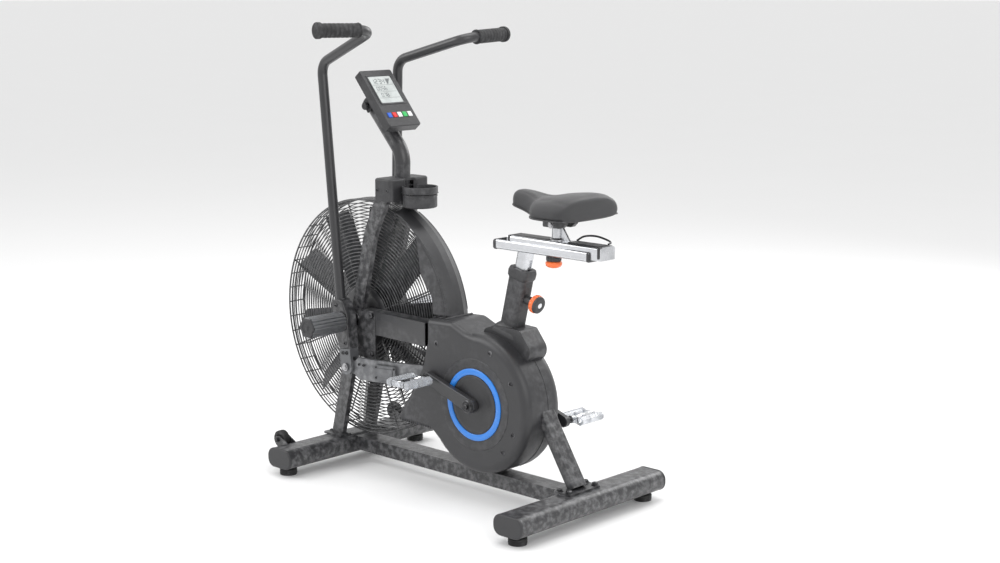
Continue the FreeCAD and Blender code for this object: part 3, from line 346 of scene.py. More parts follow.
def grain_group():
    """Fine surface grain: a height for bump, and a slow mottling mask."""
    group, into, out = new_group("Surface grain", [("Vector", "NodeSocketVector", (0, 0, 0)),
                                                   ("Scale", "NodeSocketFloat", 900.0)],
                                 [("Height", "NodeSocketFloat"), ("Mottle", "NodeSocketFloat")])
    fine = noise(group, into.outputs["Scale"], 3.0, into.outputs["Vector"])
    cells = group.nodes.new("ShaderNodeTexVoronoi")
    group.links.new(into.outputs["Vector"], cells.inputs["Vector"])
    group.links.new(into.outputs["Scale"], cells.inputs["Scale"])
    height = arithmetic(group, "MULTIPLY_ADD", cells.outputs["Distance"], 0.5)
    group.links.new(fine, height.node.inputs[2])
    group.links.new(height, out.inputs["Height"])
    slow = noise(group, 9.0, 5.0, into.outputs["Vector"])
    group.links.new(spread(group, slow, 0.32, 0.68, 0.0, 1.0), out.inputs["Mottle"])
    return group


def wear_group():
    """Rubbed edges and light handling marks, broken up by noise."""
    group, into, out = new_group("Edge wear", [("Vector", "NodeSocketVector", (0, 0, 0)),
                                               ("Amount", "NodeSocketFloat", 0.3)],
                                 [("Mask", "NodeSocketFloat"), ("Scuff", "NodeSocketFloat")])
    geometry = group.nodes.new("ShaderNodeNewGeometry")
    edge = spread(group, geometry.outputs["Pointiness"], 0.52, 0.60, 0.0, 1.0)
    patches = spread(group, noise(group, 60.0, 6.0, into.outputs["Vector"]), 0.42, 0.70, 0.0, 1.0)
    worn = arithmetic(group, "MULTIPLY", edge, patches, clamp=True)
    group.links.new(arithmetic(group, "MULTIPLY", worn, into.outputs["Amount"], clamp=True),
                    out.inputs["Mask"])
    stretched = group.nodes.new("ShaderNodeMapping")
    stretched.inputs["Scale"].default_value = (30.0, 260.0, 60.0)
    group.links.new(into.outputs["Vector"], stretched.inputs["Vector"])
    scuffs = noise(group, 1.0, 8.0, stretched.outputs["Vector"], 0.75)
    group.links.new(spread(group, scuffs, 0.60, 0.74, 0.0, 1.0), out.inputs["Scuff"])
    return group


def group_node(tree, group, **values):
    node = tree.nodes.new("ShaderNodeGroup")
    node.node_tree = group
    for label, value in values.items():
        if hasattr(value, "links"):
            tree.links.new(value, node.inputs[label])
        else:
            node.inputs[label].default_value = value
    return node


def finish(name, colour, roughness, metallic=0.0, grain=900.0, depth=0.12, mottle=0.10, wear=0.25,
           worn=(0.20, 0.20, 0.21), stretch=(1.0, 1.0, 1.0), constants=None, shape=None):
    """One procedural finish. constants are set on the shader's own sockets; shape adds a height of its own."""
    material = bpy.data.materials.new(name)
    material.use_nodes = True
    tree = material.node_tree
    shader = tree.nodes["Principled BSDF"]
    place = tree.nodes.new("ShaderNodeTexCoord").outputs["Object"]
    mapping = tree.nodes.new("ShaderNodeMapping")
    mapping.inputs["Scale"].default_value = stretch
    tree.links.new(place, mapping.inputs["Vector"])
    grains = group_node(tree, GROUPS["grain"], Vector=mapping.outputs["Vector"], Scale=grain)
    marks = group_node(tree, GROUPS["wear"], Vector=place, Amount=wear)
    dark = tuple(c * (1 - mottle) for c in colour) + (1.0,)
    light = tuple(min(1.0, c * (1 + mottle)) for c in colour) + (1.0,)
    base = mix_colour(tree, grains.outputs["Mottle"], dark, light)
    base = mix_colour(tree, marks.outputs["Mask"], base, tuple(worn) + (1.0,))
    tree.links.new(base, shader.inputs["Base Color"])
    rough = arithmetic(tree, "MULTIPLY_ADD", marks.outputs["Scuff"], 0.07, clamp=True)
    tree.links.new(spread(tree, grains.outputs["Mottle"], 0.0, 1.0, roughness * 0.9, roughness * 1.1),
                   rough.node.inputs[2])
    tree.links.new(rough, shader.inputs["Roughness"])
    shader.inputs["Metallic"].default_value = metallic
    for label, value in (constants or {}).items():
        shader.inputs[label].default_value = value
    bump = tree.nodes.new("ShaderNodeBump")
    bump.inputs["Strength"].default_value = depth
    bump.inputs["Distance"].default_value = 0.0006
    height = grains.outputs["Height"]
    if shape:
        height = arithmetic(tree, "ADD", height, shape(tree, place))
    tree.links.new(height, bump.inputs["Height"])
    tree.links.new(bump.outputs["Normal"], shader.inputs["Normal"])
    return material


def pebbles(tree, place):
    """Leather-like cells with creases between them."""
    cells = tree.nodes.new("ShaderNodeTexVoronoi")
    cells.feature = "DISTANCE_TO_EDGE"
    cells.inputs["Scale"].default_value = 420.0
    tree.links.new(place, cells.inputs["Vector"])
    return spread(tree, cells.outputs["Distance"], 0.0, 0.18, 0.0, 1.6)


def knurl(tree, place):
    """Fine raised lozenges of a foam grip."""
    waves = []
    for angle in (38.0, -38.0):
        turned = tree.nodes.new("ShaderNodeMapping")
        turned.inputs["Rotation"].default_value = (math.radians(angle), 0.0, 0.0)
        tree.links.new(place, turned.inputs["Vector"])
        wave = tree.nodes.new("ShaderNodeTexWave")
        wave.bands_direction = "Y"
        wave.inputs["Scale"].default_value = 75.0
        tree.links.new(turned.outputs["Vector"], wave.inputs["Vector"])
        waves.append(wave.outputs["Fac"])
    return arithmetic(tree, "MULTIPLY", waves[0], waves[1])


GROUPS = {}
FINISH = {}

NODE_FINISH = {
    "paint": ["front_stabilizer", "rear_stabilizer", "base_beam", "rear_strut", "left_fork_leg",
              "right_fork_leg",
              "left_side_rail", "right_side_rail", "mast", "bottom_bracket", "left_crank", "right_crank",
              "left_handle", "right_handle", "wheel_forks"],
    "plastic": ["stabilizer_end_caps", "cup_holder", "fan_hub", "console_case", "saddle_clamp"],
    "cover": ["left_cover", "right_cover", "shroud"],
    "sleeve": ["seat_tube"],
    "blade": ["fan_blades"],
    "rubber": ["leveling_feet", "drive_belts"],
    "foam": ["left_grip", "right_grip"],
    "link": ["left_lever", "right_lever", "left_link", "right_link"],
    "silver": ["seat_post", "saddle_carriage", "crank_pulley"],
    "steel": ["fan_axle", "crank_spindle", "jackshaft", "ball_bearings"],
    "screen": ["console_screen"],
    "white": ["up_button", "down_button"],
    "green": ["start_button"],
    "red": ["stop_button"],
    "blue": ["mode_button"],
}


def build_finishes(settings):
    colours = settings.colours
    GROUPS["grain"] = grain_group()
    GROUPS["wear"] = wear_group()
    plastic = tuple(colours.plastic)
    metal_worn = (0.34, 0.34, 0.35)
    FINISH["paint"] = finish("Satin black paint", tuple(colours.paint), 0.36, grain=1300.0, depth=0.16,
                             wear=0.35, worn=metal_worn, constants={"Coat Weight": 0.18,
                                                                    "Coat Roughness": 0.25})
    FINISH["plastic"] = finish("Moulded black plastic", plastic, 0.44, grain=1700.0, depth=0.30)
    FINISH["cover"] = finish("Cover plastic", tuple(c * 1.1 for c in plastic), 0.40, grain=1500.0,
                             depth=0.22,
                             mottle=0.12)
    FINISH["sleeve"] = finish("Textured sleeve plastic", plastic, 0.52, grain=520.0, depth=0.75)
    FINISH["blade"] = finish("Fan blade plastic", (0.030, 0.031, 0.034), 0.30, grain=700.0, depth=0.1)
    FINISH["rubber"] = finish("Foot rubber", (0.013, 0.013, 0.013), 0.72, grain=600.0, depth=0.5)
    FINISH["foam"] = finish("Grip foam", (0.017, 0.017, 0.018), 0.78, grain=1100.0, depth=0.7, shape=knurl)
    FINISH["link"] = finish("Linkage paint", tuple(colours.link_paint), 0.34, metallic=0.35, grain=1400.0,
                            depth=0.12, wear=0.5, worn=metal_worn)
    FINISH["silver"] = finish("Brushed alloy", (0.56, 0.57, 0.59), 0.27, metallic=1.0, grain=260.0,
                              depth=0.10,
                              stretch=(0.15, 4.0, 4.0), worn=(0.75, 0.75, 0.77))
    FINISH["peg"] = finish("Extruded alloy", (0.50, 0.51, 0.53), 0.33, metallic=1.0, grain=420.0,
                           depth=0.16,
                           stretch=(3.0, 0.15, 3.0), worn=(0.72, 0.72, 0.74))
    FINISH["steel"] = finish("Machined steel", (0.42, 0.42, 0.43), 0.30, metallic=1.0, grain=900.0,
                             depth=0.1)
    FINISH["chrome"] = finish("Bright plate", (0.72, 0.73, 0.75), 0.10, metallic=1.0, grain=500.0,
                              depth=0.02)
    FINISH["bolt"] = finish("Black oxide", (0.035, 0.035, 0.037), 0.32, metallic=0.85, grain=900.0,
                            depth=0.12,
                            wear=0.6, worn=metal_worn)
    FINISH["trim"] = finish("Blue trim plastic", tuple(colours.trim), 0.30, grain=1500.0, depth=0.10,
                            mottle=0.05,
                            worn=(0.10, 0.33, 0.72), constants={"Coat Weight": 0.3, "Coat Roughness": 0.12})
    FINISH["knob"] = finish("Orange knob plastic", tuple(colours.knob), 0.32, grain=1300.0, depth=0.12,
                            mottle=0.06, worn=(0.9, 0.32, 0.12), constants={"Coat Weight": 0.25})
    FINISH["vinyl"] = finish("Saddle vinyl", tuple(colours.vinyl), 0.43, grain=1500.0, depth=0.42,
                             shape=pebbles,
                             constants={"Sheen Weight": 0.12, "Sheen Roughness": 0.4})
    FINISH["clear"] = finish("Clear pedal plastic", (0.80, 0.82, 0.85), 0.14, grain=600.0, depth=0.08,
                             mottle=0.03,
                             wear=0.1, worn=(0.9, 0.9, 0.9),
                             constants={"Transmission Weight": 0.72, "IOR": 1.49})
    FINISH["screen"] = finish("Display glass", (0.50, 0.53, 0.52), 0.12, grain=200.0, depth=0.02,
                              mottle=0.03,
                              constants={"Coat Weight": 0.6})
    FINISH["ink"] = finish("Display segments", (0.03, 0.035, 0.04), 0.30, grain=600.0, depth=0.02)
    for name, colour in (("white", (0.74, 0.75, 0.75)), ("green", (0.03, 0.42, 0.10)),
                         ("red", (0.62, 0.02, 0.02)),
                         ("blue", (0.02, 0.10, 0.50))):
        FINISH[name] = finish(name.capitalize() + " key plastic", colour, 0.34, grain=1500.0, depth=0.12,
                              mottle=0.05, worn=tuple(min(1.0, c * 1.2) for c in colour))
    for key, nodes in NODE_FINISH.items():
        for node in nodes:
            mesh = frame["nodes"][node].data
            mesh.materials.clear()
            mesh.materials.append(FINISH[key])


# ---------------------------------------------------------------- fan guard

def build_fan_guard(settings):
    low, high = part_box("guard_band")
    outer = (high.x - low.x) / 2
    wire = settings.sizes.guard_wire
    face = 29 * MM
    inner_ring = 96 * MM
    bm = bmesh.new()
    for y in (-face, face):
        radius = inner_ring
        while radius < outer - 3 * MM:
            sweep(bm, circle(FAN, radius, y), wire, 6, closed=True)
            radius += settings.sizes.guard_pitch
        sweep(bm, circle(FAN, outer - 2.6 * MM, y * 0.97), 2.5 * MM, 8, closed=True)
        for spoke in range(8):
            turn = math.radians(45 * (spoke + 0.5))
            way = Vector((math.cos(turn), 0, math.sin(turn)))
            shift = Y_WAY * (y * 0.90)
            sweep(bm, [FAN + way * 70 * MM + shift, FAN + way * (outer - 3 * MM) + shift], 2.1 * MM, 8)
    for y in (-16, -5.5, 5.5, 16):
        sweep(bm, circle(FAN, outer - 2 * MM, y * MM), wire, 6, closed=True)
    ties = 48
    for i in range(ties):
        turn = 2 * math.pi * i / ties
        way = Vector((math.cos(turn), 0, math.sin(turn)))
        start = FAN + way * (outer - 3.6 * MM)
        sweep(bm, [start - Y_WAY * face, start + Y_WAY * face], wire * 1.1, 6)
    guard = piece("fan_guard", bm, "frame", FINISH["paint"])
    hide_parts("guard_near", "guard_far", "guard_band")

    bm = bmesh.new()
    for side in (-1, 1):
        axis = Y_WAY * side
        lathe(bm, [(90 * MM, -1.5 * MM), (90 * MM, 0), (86 * MM, 1.0 * MM), (70 * MM, 1.8 * MM),
                   (66 * MM, 0.6 * MM),
                   (40 * MM, 0.6 * MM), (36 * MM, 1.8 * MM), (24 * MM, 1.8 * MM), (24 * MM, -1.5 * MM)],
              FAN + axis * 29.5 * MM, axis, 72)
    piece("guard_centre_plates", bm, "frame", FINISH["paint"])


def build_fan(settings):
    """Ribbed cap on the hub and a rivet pair on each blade's root."""
    bm = bmesh.new()
    for side in (-1, 1):
        axis = Y_WAY * side
        lathe(bm, [(60 * MM, 0), (58 * MM, 1.6 * MM), (40 * MM, 2.6 * MM), (26 * MM, 1.2 * MM),
                   (20 * MM, 1.2 * MM)],
              FAN + axis * 21.8 * MM, axis, 60)
    for i in range(10):
        turn = math.radians(36 * i + 8)
        way = Vector((math.sin(turn), 0, math.cos(turn)))
        for reach in (70, 82):
            lathe(bm, [(3.2 * MM, 0), (3 * MM, 1.2 * MM), (1.5 * MM, 2 * MM), (0, 2.2 * MM)],
                  FAN + way * reach * MM - Y_WAY * 1.2 * MM, -Y_WAY, 12)
    piece("fan_hub_caps", bm, "fan", FINISH["plastic"])


# ---------------------------------------------------------------- crank housing

def cover_screw_places():
    return [at(x, -84, z) for x, z in ((434, 418), (634, 420), (708, 350), (716, 214), (680, 160))]


def build_housing(settings):
    """Raised round panel, parting bead, top ribs and the finned lower edge."""
    for side, sign in SIDES.items():
        face = CRANK + Y_WAY * (sign * COVER_FACE[side])
        bm = bmesh.new()
        washer(bm, [(100 * MM, 0.05 * MM), (100 * MM, 1.0 * MM), (101 * MM, 1.5 * MM),
                    (123.6 * MM, 1.5 * MM),
                    (125 * MM, 0.05 * MM)], face, Y_WAY * sign, 96)
        piece("round_panel_" + side, bm, "frame", FINISH["cover"])

    bm = bmesh.new()
    sweep(bm, circle(CRANK, 190.2 * MM, 0, 60, -62, 108), 1.1 * MM, 8)
    piece("cover_parting_bead", bm, "frame", FINISH["plastic"])

    bm = bmesh.new()
    for x in (404, 426, 448):
        section = rounded([(-3.5 * MM, 0, 0.5 * MM), (3.5 * MM, 0, 0.5 * MM), (2.2 * MM, 4 * MM, 1.4 * MM),
                           (-2.2 * MM, 4 * MM, 1.4 * MM)])
        base = at(x, 0, 480.2 + (x - 392) * 4 / 94)
        prism_y(bm, [(base.x + p.x, base.z + p.y) for p in section], -64 * MM, 42 * MM)
    piece("cover_top_ribs", bm, "frame", FINISH["cover"], bevel=0.5 * MM)

    bm = bmesh.new()
    fins = 14
    for i in range(fins):
        foot = at(296 + i * 8.4, -84, 176)
        section = rounded([(-1.5 * MM, 0, 0.6 * MM), (1.5 * MM, 0, 0.6 * MM), (1.5 * MM, 15 * MM, 0.6 * MM),
                           (-1.5 * MM, 15 * MM, 0.6 * MM)], 2)
        prism_y(bm, [(foot.x + p.x, foot.z + p.y) for p in section], foot.y + 14 * MM, foot.y + 0.5 * MM)
    piece("cover_vent_fins", bm, "frame", FINISH["cover"])


def build_trim(settings):
    """Domed blue rings and the dished discs inside them."""
    for side, sign in SIDES.items():
        face = CRANK + Y_WAY * (sign * COVER_FACE[side])
        axis = Y_WAY * sign
        bm = bmesh.new()
        washer(bm, [(81 * MM, 0.05 * MM), (81.2 * MM, 2.4 * MM), (83 * MM, 3.6 * MM), (89.5 * MM, 4.2 * MM),
                    (96 * MM, 3.6 * MM), (97.8 * MM, 2.4 * MM), (98 * MM, 0.05 * MM)], face, axis, 120)
        ring = piece("trim_ring_" + side, bm, "frame", FINISH["trim"])
        bm = bmesh.new()
        washer(bm, [(13 * MM, 0.05 * MM), (13 * MM, 2.0 * MM), (22 * MM, 2.6 * MM), (26 * MM, 0.9 * MM),
                    (60 * MM, 0.9 * MM), (66 * MM, 2.3 * MM), (76.5 * MM, 2.8 * MM), (78.6 * MM, 1.6 * MM),
                    (79 * MM, 0.05 * MM)], face, axis, 120)
        disc = piece("side_disc_" + side, bm, "frame", FINISH["plastic"])
        if side == "left":
            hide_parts("trim_rings")
            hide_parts("side_discs")


def build_shroud(settings):
    """The two crease lines down each shoulder of the mudguard."""
    bm = bmesh.new()
    for sign in (-1, 1):
        for radius, wire in ((345.0, 1.3), (336.5, 0.9)):
            sweep(bm, circle(FAN, radius * MM, sign * 40 * MM, 48, 10.0, 54.0), wire * MM, 8)
    piece("shroud_creases", bm, "frame", FINISH["cover"])


# ---------------------------------------------------------------- cranks and pedals

def build_cranks(settings):
    bm = bmesh.new()
    for sign in (-1, 1):
        axis = Y_WAY * sign
        lathe(bm, [(17 * MM, 0), (17 * MM, 1.5 * MM), (15 * MM, 3 * MM), (11 * MM, 3 * MM)],
              CRANK + axis * 112 * MM, axis, 40)
        hex_bolt(bm, CRANK + axis * 114 * MM, axis, 13 * MM, 7 * MM)
        hub = joint_place("left_pedal_spin" if sign < 0 else "right_pedal_spin")
        lathe(bm, [(11 * MM, 0), (11 * MM, 3 * MM), (8.6 * MM, 4 * MM), (7.4 * MM, 11 * MM)],
              Vector((hub.x, sign * 108 * MM, hub.z)), axis, 32)
    piece("crank_bolts", bm, "crankset", FINISH["bolt"])


def build_pedal(side, sign):
    """Clear moulded body round a bright spindle, with treads front and back."""
    hub = joint_place(side + "_pedal_spin")
    inside = 124 * MM
    outside = 213 * MM
    bm = bmesh.new()
    for way in (-1, 1):
        tread = rounded([(22, -9, 3), (34, -12.5, 3), (43.5, -5, 3), (43.5, 5, 3), (34, 12.5, 3),
                         (22, 9, 3)])
        outline = [(hub.x + way * p.x * MM, hub.z + p.y * MM) for p in tread]
        prism_y(bm, outline, sign * inside, sign * outside)
        for k in range(8):
            spot = sign * (inside + (7 + 10.6 * k) * MM)
            for up in (-1, 1):
                lathe(bm, [(2.6 * MM, -1 * MM), (2.4 * MM, 0.9 * MM), (1.3 * MM, 1.4 * MM), (0, 1.45 * MM)],
                      Vector((hub.x + way * 32 * MM, spot, hub.z + up * 11.3 * MM)), Z_WAY * up, 10)
    side_plate = rounded([(-26, -8, 3), (26, -8, 3), (26, 8, 3), (-26, 8, 3)])
    outline = [(hub.x + p.x * MM, hub.z + p.y * MM) for p in side_plate]
    for y0, y1 in ((inside, inside + 8 * MM), (inside + 41 * MM, inside + 47 * MM),
                   (outside - 8 * MM, outside)):
        prism_y(bm, outline, sign * y0, sign * y1)
    body = piece("pedal_body_" + side, bm, "pedal_" + side, FINISH["clear"],
                 bevel=0.9 * MM)
    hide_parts(side + "_pedal")
    bm = bmesh.new()
    lathe(bm, [(10.5 * MM, 0), (10.5 * MM, 12 * MM), (9 * MM, 14 * MM), (9 * MM, 72 * MM),
               (10.2 * MM, 74 * MM),
               (10.2 * MM, 85 * MM), (8.5 * MM, 88 * MM), (4 * MM, 88.5 * MM), (0, 87.5 * MM)],
          Vector((hub.x, sign * (inside + 0.4 * MM), hub.z)), Y_WAY * sign, 32)
    piece("pedal_sleeve_" + side, bm, "pedal_" + side, FINISH["chrome"])


def build_pedals(settings):
    for side, sign in SIDES.items():
        build_pedal(side, sign)


# ---------------------------------------------------------------- swinging arms, levers and push rods

def arm_frame(side):
    """Places points (along, out, up) of the upright arm, measured from the fan axle."""
    pivot = joint_place(side + "_rod_pivot")
    swing = math.atan2(pivot.x - FAN.x, FAN.z - pivot.z)
    return Matrix.Translation(FAN) @ Matrix.Rotation(-swing, 4, "Y")


def build_arms(settings):
    """Pivot nuts, pinch bolts, weld beads and lever bolts."""
    for side, sign in SIDES.items():
        place = arm_frame(side)
        out = Y_WAY * sign
        bm = bmesh.new()
        washer(bm, [(10.5 * MM, 0), (10.5 * MM, 2.2 * MM), (17 * MM, 2.2 * MM), (18 * MM, 0)],
               place @ (out * 122 * MM), out, 40)
        for along, up in ((-16, 46), (8, -62), (-8, -90), (8, -90)):
            face = 122 if up > -78 else 120
            socket_screw(bm, place @ Vector((along * MM, sign * face * MM, up * MM)), out, 5.2 * MM,
                         3.6 * MM)
        piece("arm_bolts_" + side, bm, "arm_" + side, FINISH["bolt"])
        bm = bmesh.new()
        tube_y = 104 * MM
        ring = [place @ Vector(((-12.5 + 15.2 * math.cos(t)) * MM, sign * tube_y + 15.2 * MM * math.sin(t),
                                62.5 * MM))
                for t in (2 * math.pi * i / 40 for i in range(40))]
        random.seed(11 + sign)
        ring = [p + Z_WAY * random.uniform(-0.35, 0.35) * MM for p in ring]
        sweep(bm, ring, 2.0 * MM, 8, closed=True)
        piece("arm_weld_" + side, bm, "arm_" + side, FINISH["paint"])

        bm = bmesh.new()
        pin = joint_place(side + "_rod_pivot")
        hex_bolt(bm, Vector((pin.x, sign * 123.8 * MM, pin.z)), out, 14 * MM, 7 * MM)
        hex_bolt(bm, Vector((pin.x, sign * 88 * MM, pin.z)), -out, 13 * MM, 6 * MM)
        piece("lever_pin_heads_" + side, bm, "arm_" + side, FINISH["steel"])


def build_push_rods(settings):
    """Raised panel, clamp plates and bolts on each rod."""
    for side, sign in SIDES.items():
        pin = joint_place(side + "_rod_pivot")
        start = Vector((pin.x + 92 * MM, sign * 104 * MM, pin.z))
        end = Vector((pin.x + 183 * MM, sign * 80 * MM, pin.z))
        along = (end - start).normalized()
        outward = Vector((-along.y, along.x, 0)) * (1 if (-along.y, along.x)[1] * sign > 0 else -1)
        basis = Matrix((along, Z_WAY, outward)).transposed().to_4x4()
        middle = (start + end) / 2 + outward * 5.8 * MM
        bm = bmesh.new()
        panel = rounded([(-34, -21, 5), (34, -21, 5), (34, 21, 5), (-34, 21, 5)])
        local_prism(bm, [(p.x * MM, p.y * MM) for p in panel], 0.0, 3.2 * MM,
                    Matrix.Translation(middle) @ basis)
        inset = rounded([(-25, -13, 4), (25, -13, 4), (25, 13, 4), (-25, 13, 4)])
        local_prism(bm, [(p.x * MM, p.y * MM) for p in inset], 3.0 * MM, 4.6 * MM,
                    Matrix.Translation(middle) @ basis)
        piece("rod_panel_" + side, bm, "rod_" + side, FINISH["link"], bevel=0.8 * MM)
        bm = bmesh.new()
        for across in (-29, 29):
            for up in (-15, 15):
                spot = middle + along * across * MM + Z_WAY * up * MM + outward * 3 * MM
                socket_screw(bm, spot, outward, 3.6 * MM, 2.4 * MM)
        for x in (44, 62):
            socket_screw(bm, Vector((pin.x + x * MM, sign * 110 * MM, pin.z + 12 * MM)), Y_WAY * sign,
                         4 * MM, 2.6 * MM)
        piece("rod_screws_" + side, bm, "rod_" + side, FINISH["bolt"])


def build_grips(settings):
    """Raised bands and a domed end on each foam grip."""
    for side, sign in SIDES.items():
        place = arm_frame(side)
        wrist = place @ Vector((248 * MM, sign * 128 * MM, 794 * MM))
        end = place @ Vector((226 * MM, sign * 297 * MM, 799 * MM))
        way = (end - wrist).normalized()
        start = wrist + way * 46 * MM
        length = (end - start).length
        bm = bmesh.new()
        bands = 9
        for i in range(bands):
            spot = start + way * (length * (i + 0.7) / bands)
            washer(bm, [(18.3 * MM, -4.2 * MM), (19.3 * MM, -3.2 * MM), (19.3 * MM, 3.2 * MM),
                        (18.3 * MM, 4.2 * MM)],
                   spot, way, 40)
        washer(bm, [(14.1 * MM, -1 * MM), (19.6 * MM, -1 * MM), (20.6 * MM, 1.5 * MM), (19.6 * MM, 4 * MM),
                    (14.1 * MM, 4 * MM)], start, way, 40)
        piece("grip_bands_" + side, bm, "arm_" + side, FINISH["foam"])


def build_foot_pegs(settings):
    """Grooved extrusion with a dark end cap."""
    for side, sign in SIDES.items():
        bm = bmesh.new()
        outline = []
        steps = 216
        for i in range(steps):
            turn = 2 * math.pi * i / steps
            corner = math.pi / 6
            hexagon = math.cos(corner) / math.cos((turn + 0.2) % (2 * corner) - corner)
            groove = max(0.0, math.cos(18 * turn)) ** 3
            radius = (0.55 * 30.0 + 0.45 * 30.0 * hexagon) - 2.6 * groove
            outline.append((FAN.x + radius * math.cos(turn) * MM, FAN.z + radius * math.sin(turn) * MM))
        prism_y(bm, outline, sign * 127 * MM, sign * 246 * MM)
        peg = piece("foot_peg_" + side, bm, "frame", FINISH["peg"], angle=55.0)
        if side == "left":
            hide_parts("foot_pegs")
        bm = bmesh.new()
        centre = Vector((FAN.x, sign * 246 * MM, FAN.z))
        lathe(bm, [(30.4 * MM, -3 * MM), (30.4 * MM, 3.2 * MM), (28 * MM, 5.4 * MM), (19 * MM, 5.8 * MM),
                   (17 * MM, 3.8 * MM), (8 * MM, 3.8 * MM), (7 * MM, 5.4 * MM), (0, 5.6 * MM)],
              centre, Y_WAY * sign, 6)
        piece("foot_peg_cap_" + side, bm, "frame", FINISH["plastic"], bevel=1.0 * MM,
              angle=20.0)


# ---------------------------------------------------------------- seat

def saddle_section(share, crown):
    """Half width, foot and top heights in mm, and the section's fullness, from nose (0) to tail (1)."""
    nose = 28 + 12 * min(1.0, share / 0.35)
    swell = 1 / (1 + math.exp(-(share - 0.47) * 17))
    half = nose + (122 - nose) * swell
    tail = max(0.0, (share - 0.88) / 0.12)
    half *= math.sqrt(max(0.0, 1 - (0.62 * tail) ** 2.4))
    tip = max(0.0, 1 - share / 0.10)
    half *= math.sqrt(max(0.02, 1 - tip ** 2.2))
    dip = math.exp(-((share - 0.42) / 0.16) ** 2)
    top = 852 - crown / MM * 0.75 * dip + 4 * math.exp(-((share - 0.85) / 0.14) ** 2)
    top -= 13 * tip ** 2 + 9 * tail ** 2
    foot = 791 + 16 * max(0.0, 1 - share / 0.34)
    return half, foot, top


def build_saddle(settings):
    """Padded saddle: lofted shell, swelled over its foot, with a sweeping crease and piping round the edge."""
    crown = settings.sizes.saddle_crown
    low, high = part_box("saddle")
    stations = 64
    around = 56
    loops = []
    edge_left = []
    edge_right = []
    for i in range(stations + 1):
        share = 0.004 + 0.992 * i / stations
        half, foot, top = saddle_section(share, crown)
        x = low.x + (high.x - low.x) * share
        loop = []
        for k in range(around):
            turn = 2 * math.pi * k / around
            c, s = math.cos(turn), math.sin(turn)
            power = 2.9
            y = half * math.copysign(abs(c) ** (2 / power), c)
            if s >= 0:
                rise = (top - foot - 16) * s ** (2 / 2.3)
                z = foot + 16 + rise
                groove = math.exp(-((abs(y) - (0.52 + 0.30 * share) * half) / 3.4) ** 2) * min(1.0,
                                                                                               share / 0.3)
                z -= 2.6 * groove * s
                z -= 3.0 * math.exp(-(y / 11) ** 2) * s * math.exp(-((share - 0.55) / 0.28) ** 2)
            else:
                z = foot + 16 + 16 * math.copysign(abs(s) ** (2 / 5), s)
                y *= 0.97
            loop.append(Vector((x, y * MM, z * MM)))
        loops.append(loop)
        edge_left.append(Vector((x, -half * 0.985 * MM, (foot + 7) * MM)))
        edge_right.append(Vector((x, half * 0.985 * MM, (foot + 7) * MM)))
    bm = bmesh.new()
    loft(bm, loops)
    saddle = piece("saddle_pad", bm, "saddle_top", FINISH["vinyl"], angle=75.0)
    subdivision = saddle.modifiers.new("Soft surface", "SUBSURF")
    subdivision.levels = 1
    subdivision.render_levels = 1
    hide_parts("saddle")

    bm = bmesh.new()
    line = edge_left[1:-1] + list(reversed(edge_right[1:-1]))
    sweep(bm, line, settings.sizes.saddle_piping, 8, closed=True)
    piece("saddle_piping", bm, "saddle_top", FINISH["vinyl"])


def rail_cap(bm, x0, x1, half, z0, z1, corner):
    """A plug over the end of a rail, rounded in section."""
    outline = rounded([(-half, z0, corner), (half, z0, corner), (half, z1, corner), (-half, z1, corner)])
    loops = []
    for x, shrink in ((x0, 0.0), (x0 + (x1 - x0) * 0.55, 0.0), (x0 + (x1 - x0) * 0.85, 1.2), (x1, 3.6)):
        middle_z = (z0 + z1) / 2
        loops.append([at(x, p.x * (1 - shrink / half), middle_z + (p.y - middle_z) * (1 - 2 * shrink / (z1 - z0)))
                      for p in outline])
    loft(bm, loops)


def build_seat_rails(settings):
    """Dark end caps, the adjusting slide's top strip, and the bent wire handle."""
    bm = bmesh.new()
    rail_cap(bm, 606, 595, 33, 689, 716, 6)
    rail_cap(bm, 919, 927, 33, 689, 716, 6)
    piece("rail_end_caps", bm, "seat_column", FINISH["plastic"])
    bm = bmesh.new()
    rail_cap(bm, 652, 642.2, 27.8, 696.5, 731, 7)
    rail_cap(bm, 950, 961.8, 27.8, 696.5, 731, 7)
    piece("slide_end_caps", bm, "saddle_slider", FINISH["plastic"])
    bm = bmesh.new()
    strip = rounded([(-20, 730.05, 0.3), (20, 730.05, 0.3), (18, 732, 0.8), (-18, 732, 0.8)])
    loft(bm, [[at(x, p.x, p.y) for p in strip] for x in (660, 776)])
    loft(bm, [[at(x, p.x, p.y) for p in strip] for x in (846, 948)])
    piece("slide_top_strips", bm, "saddle_slider", FINISH["plastic"])
    bm = bmesh.new()
    handle = [at(842, 20, 731), at(856, 34, 742), at(884, 46, 744), at(918, 48, 738), at(938, 40, 734),
              at(944, 24, 732)]
    sweep(bm, smooth_line(handle), 2.6 * MM, 10)
    piece("saddle_wire_handle", bm, "saddle_slider", FINISH["bolt"])
    bm = bmesh.new()
    lathe(bm, [(20 * MM, 0), (20 * MM, 3 * MM), (17 * MM, 6 * MM),
               (15.4 * MM, 7 * MM)], at(795, 0, 729.8), Z_WAY, 48)
    for sign in (-1, 1):
        hex_bolt(bm, at(795, sign * 27, 772), Y_WAY * sign, 12 * MM, 5.5 * MM)
    piece("saddle_stem_collar", bm, "saddle_slider", FINISH["steel"])


def fluted(bm, profile, centre, axis, flutes, depth, steps=144):
    """A turned knob whose outside has grip flutes."""
    axis, side, up = axes_for(axis)
    loops = []
    for radius, along, share in profile:
        loop = []
        for i in range(steps):
            turn = 2 * math.pi * i / steps
            r = max(radius - depth * share * (0.5 + 0.5 * math.cos(flutes * turn)), 0.00005)
            loop.append(centre + axis * along + side * (r * math.cos(turn)) + up * (r * math.sin(turn)))
        loops.append(loop)
    loft(bm, loops)


